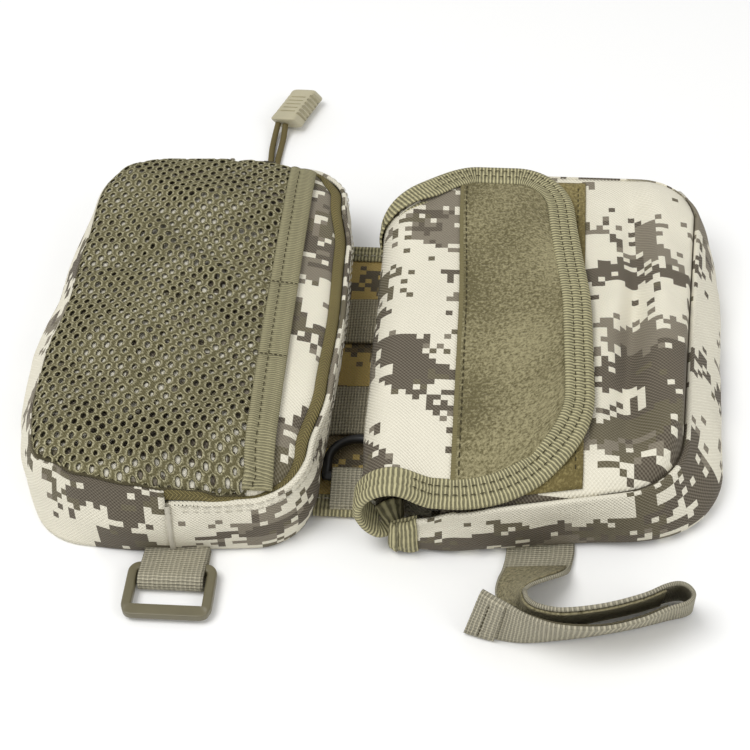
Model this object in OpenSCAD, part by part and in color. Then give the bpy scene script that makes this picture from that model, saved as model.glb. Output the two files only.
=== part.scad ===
// Twin-pouch field pack lying open: a bridge panel joins a zip pouch and a flap pouch.
// Millimetres. The floor is z = 0, +X runs from the zip pouch to the flap pouch, +Z is up.

/* [Bridge] */
// Width of the bridge panel between the two fold lines
bridge_w = 31; // [29:1:36]
// Length of the bridge panel
bridge_l = 147; // [138:1:156]
// Thickness of each of the bridge's two cloth layers
bridge_ply = 1.1; // [0.9:0.1:1.4]
// Where the far webbing row crosses the bridge
web_far_y = 27; // [24:1:34]
// Where the middle webbing row crosses the bridge
web_mid_y = -23; // [-28:1:-18]

/* [Webbing] */
// Width of the webbing
web_w = 25; // [22:1:26]
// Thickness of the webbing
web_t = 1.4; // [1.2:0.1:1.6]

/* [D ring] */
// Clear width inside the D ring
d_inner = 20.4; // [18:0.2:21]
// Radius of the D ring's bar
d_bar_r = 1.8; // [1.5:0.1:1.9]
// Where the D ring's straight bar lies
d_bar_y = -59; // [-62:1:-56]

/* [Zip pouch] */
// Width of the zip pouch across the pack
zip_w = 108; // [100:1:116]
// Length of the zip pouch
zip_l = 176; // [168:1:180]
// Height of the zip pouch's cloth box
zip_h = 36; // [34:1:42]
// Plan corner radius of the zip pouch
zip_r = 20; // [16:1:24]
// How far the zip pouch's walls bulge
zip_bulge = 3; // [1:0.5:4]
// How far the zip pouch's near end is fuller than its far end
zip_belly = 4.6; // [3:0.2:6]
// Distance from the zip pouch's inner edge to the lid's fold line
lid_w = 49.5; // [46:0.5:56]
// Pitch of the net's gaps
net_pitch = 7.4; // [7.2:0.1:9]
// Size of one net gap across its corners
net_gap = 6; // [5:0.1:6.2]

/* [Ring and pull] */
// Outside width of the square ring
ring_w = 33; // [31:1:36]
// Outside length of the square ring
ring_l = 22; // [20:1:26]
// Radius of the square ring's round bar
ring_bar_r = 2; // [1.6:0.1:2.1]
// Where the middle of the square ring lies across the pack
ring_x = -65; // [-75:1:-55]
// Where the zip slider stands across the pack
slider_x = -51.5; // [-53:0.5:-50]
// Diameter of the pull cord
cord_d = 2.8; // [2.4:0.1:3]
// Length of the moulded pull tab
tab_l = 25; // [22:1:28]
// Width of the moulded pull tab
tab_w = 12.5; // [11:0.5:14]
// Thickness of the moulded pull tab
tab_t = 8.4; // [7.5:0.1:9]
// How far the pull tab leans over on its long axis
tab_roll = 14; // [8:1:20]

/* [Flap pouch] */
// Width of the flap pouch across the pack
flap_w = 128; // [120:1:136]
// Length of the flap pouch at its mouth
flap_l = 180; // [174:1:184]
// Length of the flap pouch at its outer side
flap_outer_l = 160; // [150:1:170]
// Height of the flap pouch's cloth box
flap_h = 31; // [30:1:32]
// How far the front panel swells beyond the flap
flap_swell = 4.5; // [2:0.5:6]
// How far the front panel's seam rises towards its far outer corner
seam_rise = 2.5; // [0:0.5:4]
// How far the outer wall's near corner slopes in towards the top
flap_slope = 25.8; // [20:0.2:28]
// Radius of the rolled spine that carries the flap
spine_r = 13; // [12.6:0.1:13.4]
// Distance from the flap's hinge to its free edge
flap_reach = 72; // [66:1:78]
// Corner radius of the flap's far free corner
flap_r = 26; // [22:1:30]
// Corner radius of the flap's near free corner
flap_near_r = 52; // [46:1:54]
// Width of the hook-and-loop panels on the flap
patch_w = 46; // [40:1:50]

/* [Cloth] */
// Thickness of the padded wall cloth
cloth_t = 2; // [1.6:0.1:2.2]
// Thickness of the edge binding tape
tape_t = 0.7; // [0.5:0.1:0.8]
// Width of the edge binding that shows on one face
bind_w = 10; // [8:0.5:11]

/* [Hidden] */
fold_gap = 0.3;
hinge_x = bridge_w / 2;
bridge_top = 2 * bridge_ply;
zip_x1 = -hinge_x - fold_gap;
zip_x0 = zip_x1 - zip_w;
lid_x = zip_x1 - lid_w;
tape_z0 = zip_h - 9;
tape_z1 = zip_h - 6;
tape_z2 = zip_h - 5;
panel_z = zip_h - cloth_t;
net_z = zip_h + 2.2;
net_t = 0.8;
net_x1 = zip_x1 - 12.5;
ring_bar_z = ring_bar_r + 0.25 + web_t;
zip_near = zip_l / 2 + zip_belly;
ring_bar_y = -zip_near - 10.5;
slide_y = zip_l / 2;
flap_x0 = hinge_x + fold_gap;
flap_x1 = flap_x0 + flap_w;
flap_top = flap_h + 5.2;
spine_x = flap_x0 + 0.2;
spine_z = flap_top - spine_r;
mouth_x = flap_x0 + 4.8;
swell_x = spine_x + flap_reach;
front_x = flap_x0 + 17;
strip_t = 1.5;
patch_t = 1.1;
lid_gap = 0.4;
eps = 0.05;
arc_steps = 6;

camo = [0.83, 0.80, 0.72];
olive = [0.50, 0.48, 0.36];
dark = [0.20, 0.19, 0.18];
zip_brown = [0.42, 0.38, 0.25];
ochre = [0.50, 0.41, 0.29];
beige = [0.80, 0.76, 0.62];

// A vector of length one
function unit(v) = v / norm(v);

// A list turned end for end
function flipped(list) = [for (i = [len(list) - 1 : -1 : 0]) list[i]];

// The sum of a list of numbers
function total(list) = list * [for (v = list) 1];

// Six times the volume inside a set of triangles, negative when they face inwards
function signed_volume(points, faces) =
    total([for (f = faces) points[f[0]] * cross(points[f[1]], points[f[2]])]);

// The rounded corner of a counter-clockwise outline between two straight runs
function corner(before, at, after, radius, steps = arc_steps) =
    let (u = unit(before - at), v = unit(after - at), half = acos(u * v) / 2)
    let (centre = at + unit(u + v) * radius / sin(half))
    let (first = at + u * radius / tan(half) - centre, start = atan2(first.y, first.x))
    [for (i = [0 : steps])
        centre + radius * [cos(start + (180 - 2 * half) * i / steps),
                           sin(start + (180 - 2 * half) * i / steps)]];

// The outward direction at one point of a counter-clockwise path
function outward(path, i) =
    let (a = path[max(i - 1, 0)], b = path[min(i + 1, len(path) - 1)], t = unit(b - a))
    [t.y, -t.x];

// A path moved outwards by a distance
function moved(path, by) = [for (i = [0 : len(path) - 1]) path[i] + outward(path, i) * by];

// The closed outline of a band of even thickness along a flat path
function band(path, thick) =
    concat(moved(path, thick / 2), flipped(moved(path, -thick / 2)));

// One wall section: its outer line and then its inner line back
function wall(outer, inner) = concat(outer, flipped(inner));

// A solid drawn through sections, each an outer line followed by its inner line back
module sweep(sections, loop = false) {
    n = len(sections[0]);
    count = len(sections);
    points = [for (s = sections) each s];
    sides = [for (i = [0 : (loop ? count : count - 1) - 1], k = [0 : n - 1])
        let (next = (i + 1) % count)
        let (a = i * n + k, b = i * n + (k + 1) % n)
        let (c = next * n + (k + 1) % n, d = next * n + k)
        each k < n / 2 ? [[a, c, b], [a, d, c]] : [[a, d, b], [b, d, c]]];
    last = (count - 1) * n;
    caps = loop ? [] : [for (k = [0 : n / 2 - 2])
        each [[k, k + 1, n - 2 - k], [k, n - 2 - k, n - 1 - k],
              [last + k, last + n - 2 - k, last + k + 1],
              [last + k, last + n - 1 - k, last + n - 2 - k]]];
    faces = concat(sides, caps);
    inward = signed_volume(points, faces) > 0;
    polyhedron(points, inward ? [for (f = faces) [f[0], f[2], f[1]]] : faces, convexity = 6);
}

// A flat plate between two heights
module plate(outline, z0, z1) {
    translate([0, 0, z0]) linear_extrude(z1 - z0) polygon(outline);
}

// A profile in the XZ plane drawn along Y
module along_y(profile, y0, y1) {
    translate([0, y1, 0]) rotate([90, 0, 0]) linear_extrude(y1 - y0) polygon(profile);
}

// A strip of cloth lying square in the frame
module slab(x0, x1, y0, y1, z0, z1) {
    translate([x0, y0, z0]) cube([x1 - x0, y1 - y0, z1 - z0]);
}

module bridge_lining() {
    color(dark) slab(-hinge_x, hinge_x, -bridge_l / 2, bridge_l / 2, 0, bridge_ply);
}

module bridge_panel() {
    color(ochre) slab(-hinge_x, hinge_x, -bridge_l / 2, bridge_l / 2, bridge_ply, bridge_top);
}

module bridge_row(y) {
    color(olive)
        slab(0.8 - hinge_x, hinge_x - 0.8, y - web_w / 2, y + web_w / 2, bridge_top, bridge_top + web_t);
}

module bridge_web_far() bridge_row(web_far_y);

module bridge_web_mid() bridge_row(web_mid_y);

// The hem tape covers the panel's top edge and turns down over its end
module bridge_hem(side) {
    end = bridge_l / 2;
    color(olive)
        mirror([0, side < 0 ? 1 : 0, 0]) union() {
            slab(-hinge_x, hinge_x, end - 9, end + tape_t, bridge_top, bridge_top + tape_t);
            slab(-hinge_x, hinge_x, end, end + tape_t, 0, bridge_top + tape_t);
        }
}

module bridge_hem_far() bridge_hem(1);

module bridge_hem_near() bridge_hem(-1);

d_bar_z = bridge_top + tape_t + 0.1 + web_t + 0.25 + d_bar_r;

// Webbing folded round the D ring's bar and sewn down over the near hem
module d_ring_tab() {
    outer_r = d_bar_r + 0.25 + web_t;
    tail_y = -bridge_l / 2 + 1;
    top = bridge_top + tape_t;
    color(olive)
        translate([d_inner / 2 - 0.5, 0, 0]) rotate([90, 0, -90])
            linear_extrude(d_inner - 1) difference() {
                union() {
                    translate([-d_bar_y, d_bar_z]) circle(outer_r, $fn = 48);
                    polygon([[-tail_y, top], [-tail_y, top + 2 * web_t],
                             [-d_bar_y + 2.2, d_bar_z + outer_r * 0.86],
                             [-d_bar_y, d_bar_z], [-d_bar_y, d_bar_z - outer_r + eps]]);
                }
                translate([-d_bar_y, d_bar_z]) circle(d_bar_r + 0.25, $fn = 48);
            }
}

module d_ring() {
    reach = d_inner / 2 + d_bar_r;
    leg = 7;
    color(dark) translate([0.5, d_bar_y, d_bar_z]) union() {
        translate([0, leg, 0]) rotate_extrude(angle = 180, $fn = 64)
            translate([reach, 0]) circle(d_bar_r, $fn = 32);
        for (side = [-1, 1]) {
            translate([side * reach, 0, 0]) rotate([-90, 0, 0])
                cylinder(h = leg, r = d_bar_r, $fn = 32);
            translate([side * reach, 0, 0]) sphere(d_bar_r, $fn = 32);
        }
        translate([-reach, 0, 0]) rotate([0, 90, 0])
            cylinder(h = 2 * reach, r = d_bar_r, $fn = 32);
    }
}

// The zip pouch's plan, from the lid's fold line round its inner side and back
function zip_inner_path(gap = 0) =
    let (y = zip_l / 2, a = [lid_x + gap, -zip_near], b = [zip_x1, -y - 0.5])
    let (c = [zip_x1, y], d = [lid_x + gap, y])
    concat([a], corner(a, b, c, zip_r + 1), corner(b, c, d, zip_r), [d]);

// The zip pouch's plan, from the lid's fold line round its fuller outer side and back
function zip_outer_path(gap = 0) =
    let (y = zip_l / 2, a = [lid_x - gap, y], b = [zip_x0 + 6.5, y + 0.5], c = [zip_x0 - 1.2, -30])
    let (d = [zip_x0 + 2.5, -y], e = [lid_x - 15, -zip_near - 0.5], f = [lid_x - gap, -zip_near])
    concat([a], corner(a, b, c, zip_r + 5), corner(b, c, d, 150, 2), corner(c, d, e, zip_r + 2),
           corner(d, e, f, 90, 2), [f]);

// How far the zip pouch's wall stands out at a height
function zip_out(z) = zip_bulge * sin(180 * (z - cloth_t) / (zip_h - cloth_t) * 0.88);

// Wall sections along a path between two heights
function zip_wall(path, z0, z1, thick, levels, lift = 0) =
    [for (i = [0 : len(path) - 1])
        let (p = path[i], n = outward(path, i))
        wall([for (k = [0 : levels])
                 let (z = z0 + (z1 - z0) * k / levels, q = p + n * (zip_out(z) + lift))
                 [q.x, q.y, z]],
             [for (k = [0 : levels])
                 let (z = z0 + (z1 - z0) * k / levels, q = p + n * (zip_out(z) + lift - thick))
                 [q.x, q.y, z]])];

module zip_back_panel() {
    color(camo) plate(concat(zip_inner_path(), zip_outer_path()), 0, cloth_t);
}

module zip_outer_gusset() {
    color(camo) sweep(zip_wall(zip_outer_path(), cloth_t, panel_z, cloth_t, 5));
}

module zip_inner_gusset() {
    color(camo) sweep(zip_wall(zip_inner_path(), cloth_t, tape_z0, cloth_t, 4));
}

// A round seam cord standing on the wall at the lid's fold line
module zip_piping(side) {
    color(beige)
        sweep([for (k = [0 : 4])
            let (z = cloth_t + (tape_z0 - cloth_t) * k / 4)
            let (y = (side < 0 ? zip_near : zip_l / 2) + zip_out(z) + 0.2)
            wall([[lid_x - 0.9, side * y, z], [lid_x - 0.6, side * (y + 1), z]],
                 [[lid_x + 0.9, side * y, z], [lid_x + 0.6, side * (y + 1), z]])]);
}

module zip_piping_near() zip_piping(-1);

module zip_piping_far() zip_piping(1);

// The front face's outline, held in from the wall's outer face at the top
function zip_front_outline(path) = moved(path, zip_out(panel_z));

module zip_front_panel() {
    color(camo) plate(zip_front_outline(zip_outer_path()), panel_z, zip_h);
}

// Half a coil zip: thin tape with its coil standing on the inside edge
function zip_tape(path, z0, z1, coil_up) =
    [for (i = [0 : len(path) - 1])
        let (p = path[i], n = outward(path, i), mid = (z0 + z1) / 2)
        let (za = coil_up ? z1 : z0, zb = coil_up ? z0 : z1)
        let (oa = p + n * zip_out(za), om = p + n * zip_out(mid), ob = p + n * zip_out(zb))
        wall([[oa.x, oa.y, za], [om.x, om.y, mid], [ob.x, ob.y, zb]],
             [for (q = [[oa - n * 2, za], [om - n * 2, mid], [ob - n * 0.9, zb]])
                 [q[0].x, q[0].y, q[1]]])];

module zip_tape_lower() {
    color(zip_brown) sweep(zip_tape(zip_inner_path(), tape_z0, tape_z1, true));
}

module zip_tape_upper() {
    color(zip_brown) sweep(zip_tape(zip_inner_path(lid_gap), tape_z2, panel_z, false));
}

module zip_lid_panel() {
    color(camo) plate(zip_front_outline(zip_inner_path(lid_gap)), panel_z, zip_h);
}

// A flat net: one outline with staggered six-sided gaps wherever a gap fits inside it
module net(outline, x0, x1, z0) {
    step_y = net_pitch * 0.866;
    rows = floor(2 * zip_near / step_y);
    columns = floor((x1 - x0 - net_gap) / net_pitch);
    centres = [for (j = [0 : rows], i = [0 : columns])
        let (c = [x0 + net_gap / 2 + 0.6 + net_pitch * (i + (j % 2) * 0.5), step_y * (j - rows / 2)])
        if (c.x + net_gap / 2 < x1 && net_inside(c, outline)) c];
    gaps = [for (c = centres) [for (k = [0 : 5])
        c + net_gap / 2 * [cos(30 + 60 * k), sin(30 + 60 * k)]]];
    start = len(outline);
    paths = concat([[for (i = [0 : start - 1]) i]],
                   [for (g = [0 : len(gaps) - 1]) [for (k = [0 : 5]) start + g * 6 + k]]);
    translate([0, 0, z0]) linear_extrude(net_t)
        polygon(concat(outline, [for (g = gaps) each g]), paths);
}

// The distance from a point to a straight run
function run_distance(p, a, b) =
    let (t = max(0, min(1, (p - a) * (b - a) / ((b - a) * (b - a)))))
    norm(p - a - t * (b - a));

// Whether a gap lies inside an outline and keeps clear of its edge
function net_inside(c, outline) =
    let (n = len(outline))
    let (runs = [for (i = [0 : n - 1]) [outline[i], outline[(i + 1) % n]]])
    let (crossed = [for (r = runs)
        if ((r[0].y > c.y) != (r[1].y > c.y)
            && c.x < r[0].x + (c.y - r[0].y) / (r[1].y - r[0].y) * (r[1].x - r[0].x)) 1])
    len(crossed) % 2 == 1 && min([for (r = runs) run_distance(c, r[0], r[1])]) > net_gap / 2 + 1.2;

// The seam tape that holds the net's sewn edge off the front panel
module net_edge_outer() {
    path = zip_outer_path(lid_gap / 2);
    color(olive) plate(concat(moved(path, -1.5), flipped(moved(path, -4))), zip_h, net_z);
}

// The mouth part of the net, wider at its near end
net_y = zip_l / 2 - 1.5;
function net_near(x) = -zip_near + 2.1 + (x - lid_x) * (zip_near - 2.1 - net_y) / (net_x1 - lid_x);

module net_edge_mouth() {
    x0 = lid_x + lid_gap + 0.2;
    x1 = net_x1 - bind_w - 0.5;
    color(olive) {
        slab(x0, x1, net_y - 2.5, net_y, zip_h, net_z);
        plate([[x0, net_near(x0)], [x1, net_near(x1)], [x1, net_near(x1) + 2.5], [x0, net_near(x0) + 2.5]],
              zip_h, net_z);
    }
}

module net_outer() {
    inset = moved(zip_outer_path(lid_gap / 2), -1.5);
    color(olive) net(inset, zip_x0 + 2.5, lid_x - 1, net_z);
}

module net_mouth() {
    x0 = lid_x + lid_gap / 2;
    outline = [[x0, net_near(x0)], [net_x1, net_near(net_x1)], [net_x1, net_y], [x0, net_y]];
    color(olive) net(outline, x0 + 0.6, net_x1 - bind_w, net_z);
}

// Folded tape over the net's mouth edge
module net_binding() {
    low = net_z - eps;
    high = net_z + net_t + eps;
    y = zip_l / 2 - 4;
    color(olive)
        along_y([[net_x1 - bind_w, low - tape_t], [net_x1 + 0.4, low - tape_t],
                 [net_x1 + 1, low], [net_x1 + 1, high],
                 [net_x1 + 0.4, high + tape_t], [net_x1 - bind_w, high + tape_t],
                 [net_x1 - bind_w, high], [net_x1 + eps, high],
                 [net_x1 + eps, low], [net_x1 - bind_w, low]], -y, y);
}

// Webbing folded round the square ring's bar and caught in the pouch's near seam
module ring_webbing() {
    outer_r = ring_bar_r + 0.25 + web_t;
    seam = zip_near;
    bar = -ring_bar_y;
    color(olive) difference() {
        translate([ring_x + web_w / 2 - 0.5, 0, 0]) rotate([90, 0, -90])
            linear_extrude(web_w - 1) difference() {
                union() {
                    translate([bar, ring_bar_z]) circle(outer_r, $fn = 48);
                    polygon([[seam - 3, 0], [bar, 0.02], [bar, ring_bar_z],
                             [bar - 2, ring_bar_z + outer_r * 0.84],
                             [seam + 3.5, 2 * web_t], [seam + 1.2, 1.9], [seam - 3, 1.9]]);
                }
                translate([bar, ring_bar_z]) circle(ring_bar_r + 0.25, $fn = 48);
            }
        plate(concat(moved(zip_inner_path(), 0.05), moved(zip_outer_path(), 0.05)), -1, 3);
    }
}

// A moulded ring with a round bar at the webbing and three flat-sided bars
module square_ring() {
    x = ring_w / 2 - ring_bar_r;
    y0 = ring_bar_y;
    y1 = ring_bar_y - ring_l + 2 * ring_bar_r;
    a = [ring_x + x, y0];
    b = [ring_x + x, y1];
    c = [ring_x - x, y1];
    d = [ring_x - x, y0];
    path = concat([d], corner(d, c, b, 3, 4), corner(c, b, a, 3, 4), [a]);
    r = ring_bar_r;
    color(zip_brown) union() {
        sweep([for (i = [0 : len(path) - 1])
            let (p = path[i], n = outward(path, i))
            wall([for (q = [[-0.45, -1], [0.45, -1], [1, -0.45], [1, 0.45]])
                     [p.x + n.x * r * q[0], p.y + n.y * r * q[0], ring_bar_z + r * q[1]]],
                 [for (q = [[-1, -0.45], [-1, 0.45], [-0.45, 1], [0.45, 1]])
                     [p.x + n.x * r * q[0], p.y + n.y * r * q[0], ring_bar_z + r * q[1]]])]);
        translate([ring_x - x - r, ring_bar_y, ring_bar_z]) rotate([0, 90, 0])
            cylinder(h = 2 * x + 2 * r, r = r, $fn = 40);
    }
}

slider_z = (tape_z1 + tape_z2) / 2;
slider_face = slide_y + zip_bulge + 0.5;
eye_y = slider_face + 1.4 + cord_d + 0.5 + 1.1;
eye_z = slider_z - 4.9;

// Two plates on either side of the tapes, a thin neck between them and a low upright cord bar
module slider_body() {
    inside = slide_y + zip_out(slider_z) - 3.2;
    color(dark) union() {
        slab(slider_x - 5, slider_x + 5, slider_face, slider_face + 1.4, slider_z - 3.6, slider_z + 3);
        slab(slider_x - 3, slider_x + 3, slider_face, slider_face + 1.4, eye_z - 3.8, slider_z - 3.5);
        slab(slider_x - 4.2, slider_x + 4.2, inside - 1.2, inside, slider_z - 3.2, slider_z + 3.2);
        slab(slider_x - 1.5, slider_x + 1.5, inside - 0.1, slider_face + 0.1, slider_z - 0.2, slider_z + 0.2);
        for (side = [-1, 1])
            slab(slider_x - 1.1, slider_x + 1.1, slider_face + 1.3, eye_y + 1.1,
                 eye_z + side * 2.9 - 0.7, eye_z + side * 2.9 + 0.7);
        translate([slider_x, eye_y, eye_z - 3.6]) cylinder(h = 7.2, r = 1.1, $fn = 32);
    }
}

// The pull cord's route from the tab, round the slider's bar and back, measured from the bar on the floor
cord_route = [for (p = [
    [-3.0, 58.5, 5.2], [-4.1, 51.5, 2.2], [-4.4, 43.5, 1.5], [-4.0, 34.5, 1.5], [-3.8, 24.5, 2.2],
    [-3.7, 17, 6.5], [-3.4, 11, 13.5], [-3.0, 6, eye_z - 5.6], [-2.85, 2.6, eye_z - 1.4], [-2.75, 0, eye_z],
    [-1.95, -1.95, eye_z], [0, -2.75, eye_z], [1.95, -1.95, eye_z],
    [2.75, 0, eye_z], [2.85, 2.6, eye_z - 1.4], [2.2, 6, eye_z - 5.6], [1.2, 11, 13.5], [0.4, 17, 6.5],
    [-0.5, 24.5, 2.2], [-0.8, 34.5, 1.5], [-0.4, 43.5, 1.5], [0.1, 51.5, 2.2], [0.5, 57.7, 5.2]
]) [slider_x + p.x, eye_y + p.y, p.z]];

// One ring of a round cord at a point of its route
function cord_ring(route, i, radius) =
    let (t = unit(route[min(i + 1, len(route) - 1)] - route[max(i - 1, 0)]))
    let (u = unit(cross(t, [0, 0.3, 1])), v = cross(t, u))
    [for (k = [0 : 7]) route[i] + radius * (u * cos(45 * k + 22.5) + v * sin(45 * k + 22.5))];

module pull_cord() {
    color(olive)
        sweep([for (i = [0 : len(cord_route) - 1]) cord_ring(cord_route, i, cord_d / 2)]);
}

// A moulded tab leaning on the floor: slanted ends, fine lines across its top and ribs down its sides
tab_yaw = 20;
tab_slant = 5;
tab_top = tab_w / 2 * sin(tab_roll) + tab_t * cos(tab_roll) + 0.05;
tab_at = [slider_x - 1.3, eye_y + 55.6, tab_top];

module pull_tab() {
    ribs = 6;
    lines = 5;
    pitch = 2.9;
    lean = atan(tab_slant / tab_t);
    a = [tab_slant, -tab_t];
    b = [tab_l + tab_slant, -tab_t];
    c = [tab_l, 0];
    d = [0, 0];
    outline = concat(corner(d, a, b, 1.6), corner(a, b, c, 2.4), corner(b, c, d, 1.6), corner(c, d, a, 0.8));
    color(beige)
        translate(tab_at) rotate([0, 0, -tab_yaw]) rotate([0, -tab_roll, 0]) difference() {
            rotate([90, 0, 90]) translate([0, 0, -tab_w / 2]) linear_extrude(tab_w) polygon(outline);
            for (i = [0 : ribs - 1], side = [-1, 1])
                translate([side * tab_w / 2 - 0.8, 6 + i * pitch, 0]) rotate([lean, 0, 0])
                    translate([0, 0, -1.5 * tab_t]) cube([1.6, 1.5, 1.5 * tab_t - 1.4]);
            for (i = [0 : lines - 1])
                translate([-tab_w / 2 + 2.5, 6.4 + i * pitch, -0.5]) cube([tab_w - 5, 0.8, 1]);
            translate([-tab_w, tab_slant + 1.6, 2 - tab_t]) rotate([0, 90, 0])
                cylinder(h = 2 * tab_w, r = 0.9, $fn = 24);
        }
}

// A point where a straight run reaches x
function reached(a, b, x) = a + (b - a) * (x - a.x) / (b.x - a.x);

// The flap pouch's near and far sides at the floor, narrower towards the outer side and most at the near end
mouth_near = flap_l / 2 - 3.5;
mouth_far = flap_l / 2 - 1;
outer_near = flap_outer_l / 2 - 7;
outer_far = flap_outer_l / 2 + 4;
near_lean = (mouth_near - outer_near) / (flap_x1 - mouth_x);
far_lean = (mouth_far - outer_far) / (flap_x1 - mouth_x);

// The flap pouch's plan at the floor, from its near mouth end round to its far mouth end
function flap_floor_path(x0 = mouth_x) =
    let (a = [x0, -mouth_near - (mouth_x - x0) * near_lean], b = [flap_x1, -outer_near])
    let (c = [flap_x1, outer_far], d = [x0, mouth_far + (mouth_x - x0) * far_lean])
    concat([a, reached(a, b, swell_x)], corner(a, b, c, 28), corner(b, c, d, 22), [reached(d, c, swell_x), d]);

// The flap pouch's plan at its top seam
function flap_seam_path() =
    let (a = [mouth_x, -mouth_near], b = [flap_x1 - flap_slope, -outer_near])
    let (c = [flap_x1 - 7.3, outer_far + 4], d = [mouth_x, mouth_far + 1.5])
    concat([a, reached(a, b, swell_x)], corner(a, b, c, 20), corner(b, c, d, 15), [reached(d, c, swell_x), d]);

// How far the panel is free to swell at x, from nothing under the flap to all of it
function swell_share(x) = let (t = max(0, min(1, (x - swell_x) / 14))) t * t * (3 - 2 * t);

// The height of the top seam at a point of its plan, level under the flap
function seam_z(p) = flap_h - cloth_t + seam_rise * max(0, p.y) / outer_far * swell_share(p.x);

// A point on the flap pouch's wall, held in by a distance from its outer face
function flap_wall_point(i, s, depth) =
    let (low = flap_floor_path(), high = flap_seam_path())
    let (n = outward(low, i), p = low[i] * (1 - s) + high[i] * s + n * (3 * sin(180 * s) - depth))
    [p.x, p.y, cloth_t + (seam_z(high[i]) - cloth_t) * s];

module flap_back_panel() {
    color(camo) plate(flap_floor_path(flap_x0), 0, cloth_t);
}

module flap_gusset() {
    levels = [0 : 0.2 : 1];
    color(camo) sweep([for (i = [0 : len(flap_floor_path()) - 1])
        wall([for (s = levels) flap_wall_point(i, s, 0)],
             [for (s = levels) flap_wall_point(i, s, cloth_t)])]);
}

// The front panel as lines across the pouch: flat under the flap, swelling beyond it and drawn in to its seam
module flap_front_panel() {
    seam = flap_seam_path();
    last = len(seam) - 1;
    rungs = len(seam) / 2 - 1;
    across = 12;
    near = concat([reached(seam[0], seam[1], front_x)], [for (i = [1 : rungs]) seam[i]]);
    far = concat([reached(seam[last], seam[last - 1], front_x)], [for (i = [1 : rungs]) seam[last - i]]);
    color(camo) sweep([for (i = [0 : rungs])
        let (a = near[i], b = far[i], free = i < 2 ? 0 : 1 - pow((i - 2) / (rungs - 2), 2))
        let (top = [for (k = [0 : across])
            let (p = a + (b - a) * k / across, side = min(k, across - k) / across)
            let (puff = free * swell_share(p.x) * (1 - pow(1 - min(1, side * 5), 2)))
            let (rim = seam_z(a) * (1 - k / across) + seam_z(b) * k / across)
            [p.x, p.y, rim + cloth_t + puff * (flap_h - cloth_t - rim + flap_swell)]])
        wall(top, [for (p = top) p - [0, 0, cloth_t]])]);
}

// Folded tape over the gusset's two mouth ends, following the wall's slant
module mouth_binding_sides() {
    low = flap_floor_path();
    last = len(low) - 1;
    gap = 0.12;
    out = gap + tape_t;
    color(olive) for (ends = [[0, 1], [last, last - 1]]) {
        sweep([for (s = [0 : 0.2 : 1])
            let (p = flap_wall_point(ends[0], s, 0), q = flap_wall_point(ends[1], s, 0))
            let (along = unit(q - p), side = outward(low, ends[0]), n = [side.x, side.y, 0])
            wall([for (r = [[bind_w, out], [-0.8, out], [-0.8, -cloth_t - out], [bind_w, -cloth_t - out]])
                     p + along * r[0] + n * r[1]],
                 [for (r = [[bind_w, gap], [-gap, gap], [-gap, -cloth_t - gap], [bind_w, -cloth_t - gap]])
                     p + along * r[0] + n * r[1]])]);
    }
}

// Folded tape over the front panel's mouth edge
module mouth_binding_front() {
    low = flap_h - cloth_t - eps;
    high = flap_h + eps;
    y = flap_l / 2 - 9;
    color(olive)
        along_y([[front_x + bind_w, low - tape_t], [front_x + bind_w, low], [front_x - eps, low],
                 [front_x - eps, high], [front_x + bind_w, high],
                 [front_x + bind_w, high + tape_t], [front_x - 0.3, high + tape_t],
                 [front_x - 0.8, high], [front_x - 0.8, low], [front_x - 0.3, low - tape_t]], -y, y);
}

module front_loop_strip() {
    x0 = front_x + bind_w + 1;
    x1 = spine_x + flap_reach - 3;
    far = mouth_far - 3;
    color(olive)
        plate([[x0, -mouth_near + 5], [x1, -mouth_near + 10.5], [x1, far], [x0, far]], flap_h, flap_h + strip_t);
}

// The spine's middle line: down from the flap's hinge, round the roll and into the back seam
function spine_line() =
    let (r = spine_r - cloth_t / 2, turn = 264, foot = 3.2)
    let (roll = [for (a = [90 : 8.7 : turn]) [spine_x + r * cos(a), spine_z + r * sin(a)]])
    let (end = [spine_x + r * cos(turn), spine_z + r * sin(turn)])
    let (centre = end + foot * [cos(turn), sin(turn)])
    concat(roll, [for (a = [turn - 194 : -14 : 0]) centre + foot * [cos(a), sin(a)]],
           [[centre.x + foot, cloth_t]]);

// The roll stops short of the flap's rounded far corner
flap_far_r = 24;
spine_far = flap_l / 2 - 0.5 - flap_far_r - 1.5;

module flap_spine() {
    color(camo) along_y(band(spine_line(), cloth_t), -flap_l / 2 + 0.5, spine_far);
}

// Folded tape over the two raw ends of the rolled spine
module spine_binding() {
    line = spine_line();
    in = cloth_t / 2 + eps;
    out = in + tape_t;
    color(olive) for (side = [-1, 1])
        sweep([for (i = [0 : len(line) - 1])
            let (p = line[i], n = outward(line, i), end = side < 0 ? flap_l / 2 - 0.5 : spine_far)
            wall([for (q = [[out, end - bind_w], [out, end + tape_t],
                            [-out, end + tape_t], [-out, end - bind_w]])
                     [p.x + n.x * q[0], side * q[1], p.y + n.y * q[0]]],
                 [for (q = [[in, end - bind_w], [in, end + eps], [-in, end + eps], [-in, end - bind_w]])
                     [p.x + n.x * q[0], side * q[1], p.y + n.y * q[0]]])]);
}

flap_hinge_x = spine_x + lid_gap;

// The flap's plan, from its near hinge end round its free edge to its far hinge end
function flap_path() =
    let (y = flap_l / 2 - 0.5, x1 = spine_x + flap_reach)
    let (a = [flap_hinge_x, -y], b = [x1, -y], c = [x1 - 6, y], d = [flap_hinge_x, y])
    concat([a], corner(a, b, c, flap_near_r, 9), corner(b, c, d, flap_r), corner(c, d, a, flap_far_r));

flap_mid = flap_top - cloth_t * 0.6;

module flap_panel() {
    color(camo) plate(flap_path(), flap_mid, flap_top);
}

module flap_lining() {
    color(dark) plate(flap_path(), flap_top - cloth_t, flap_mid);
}

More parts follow.
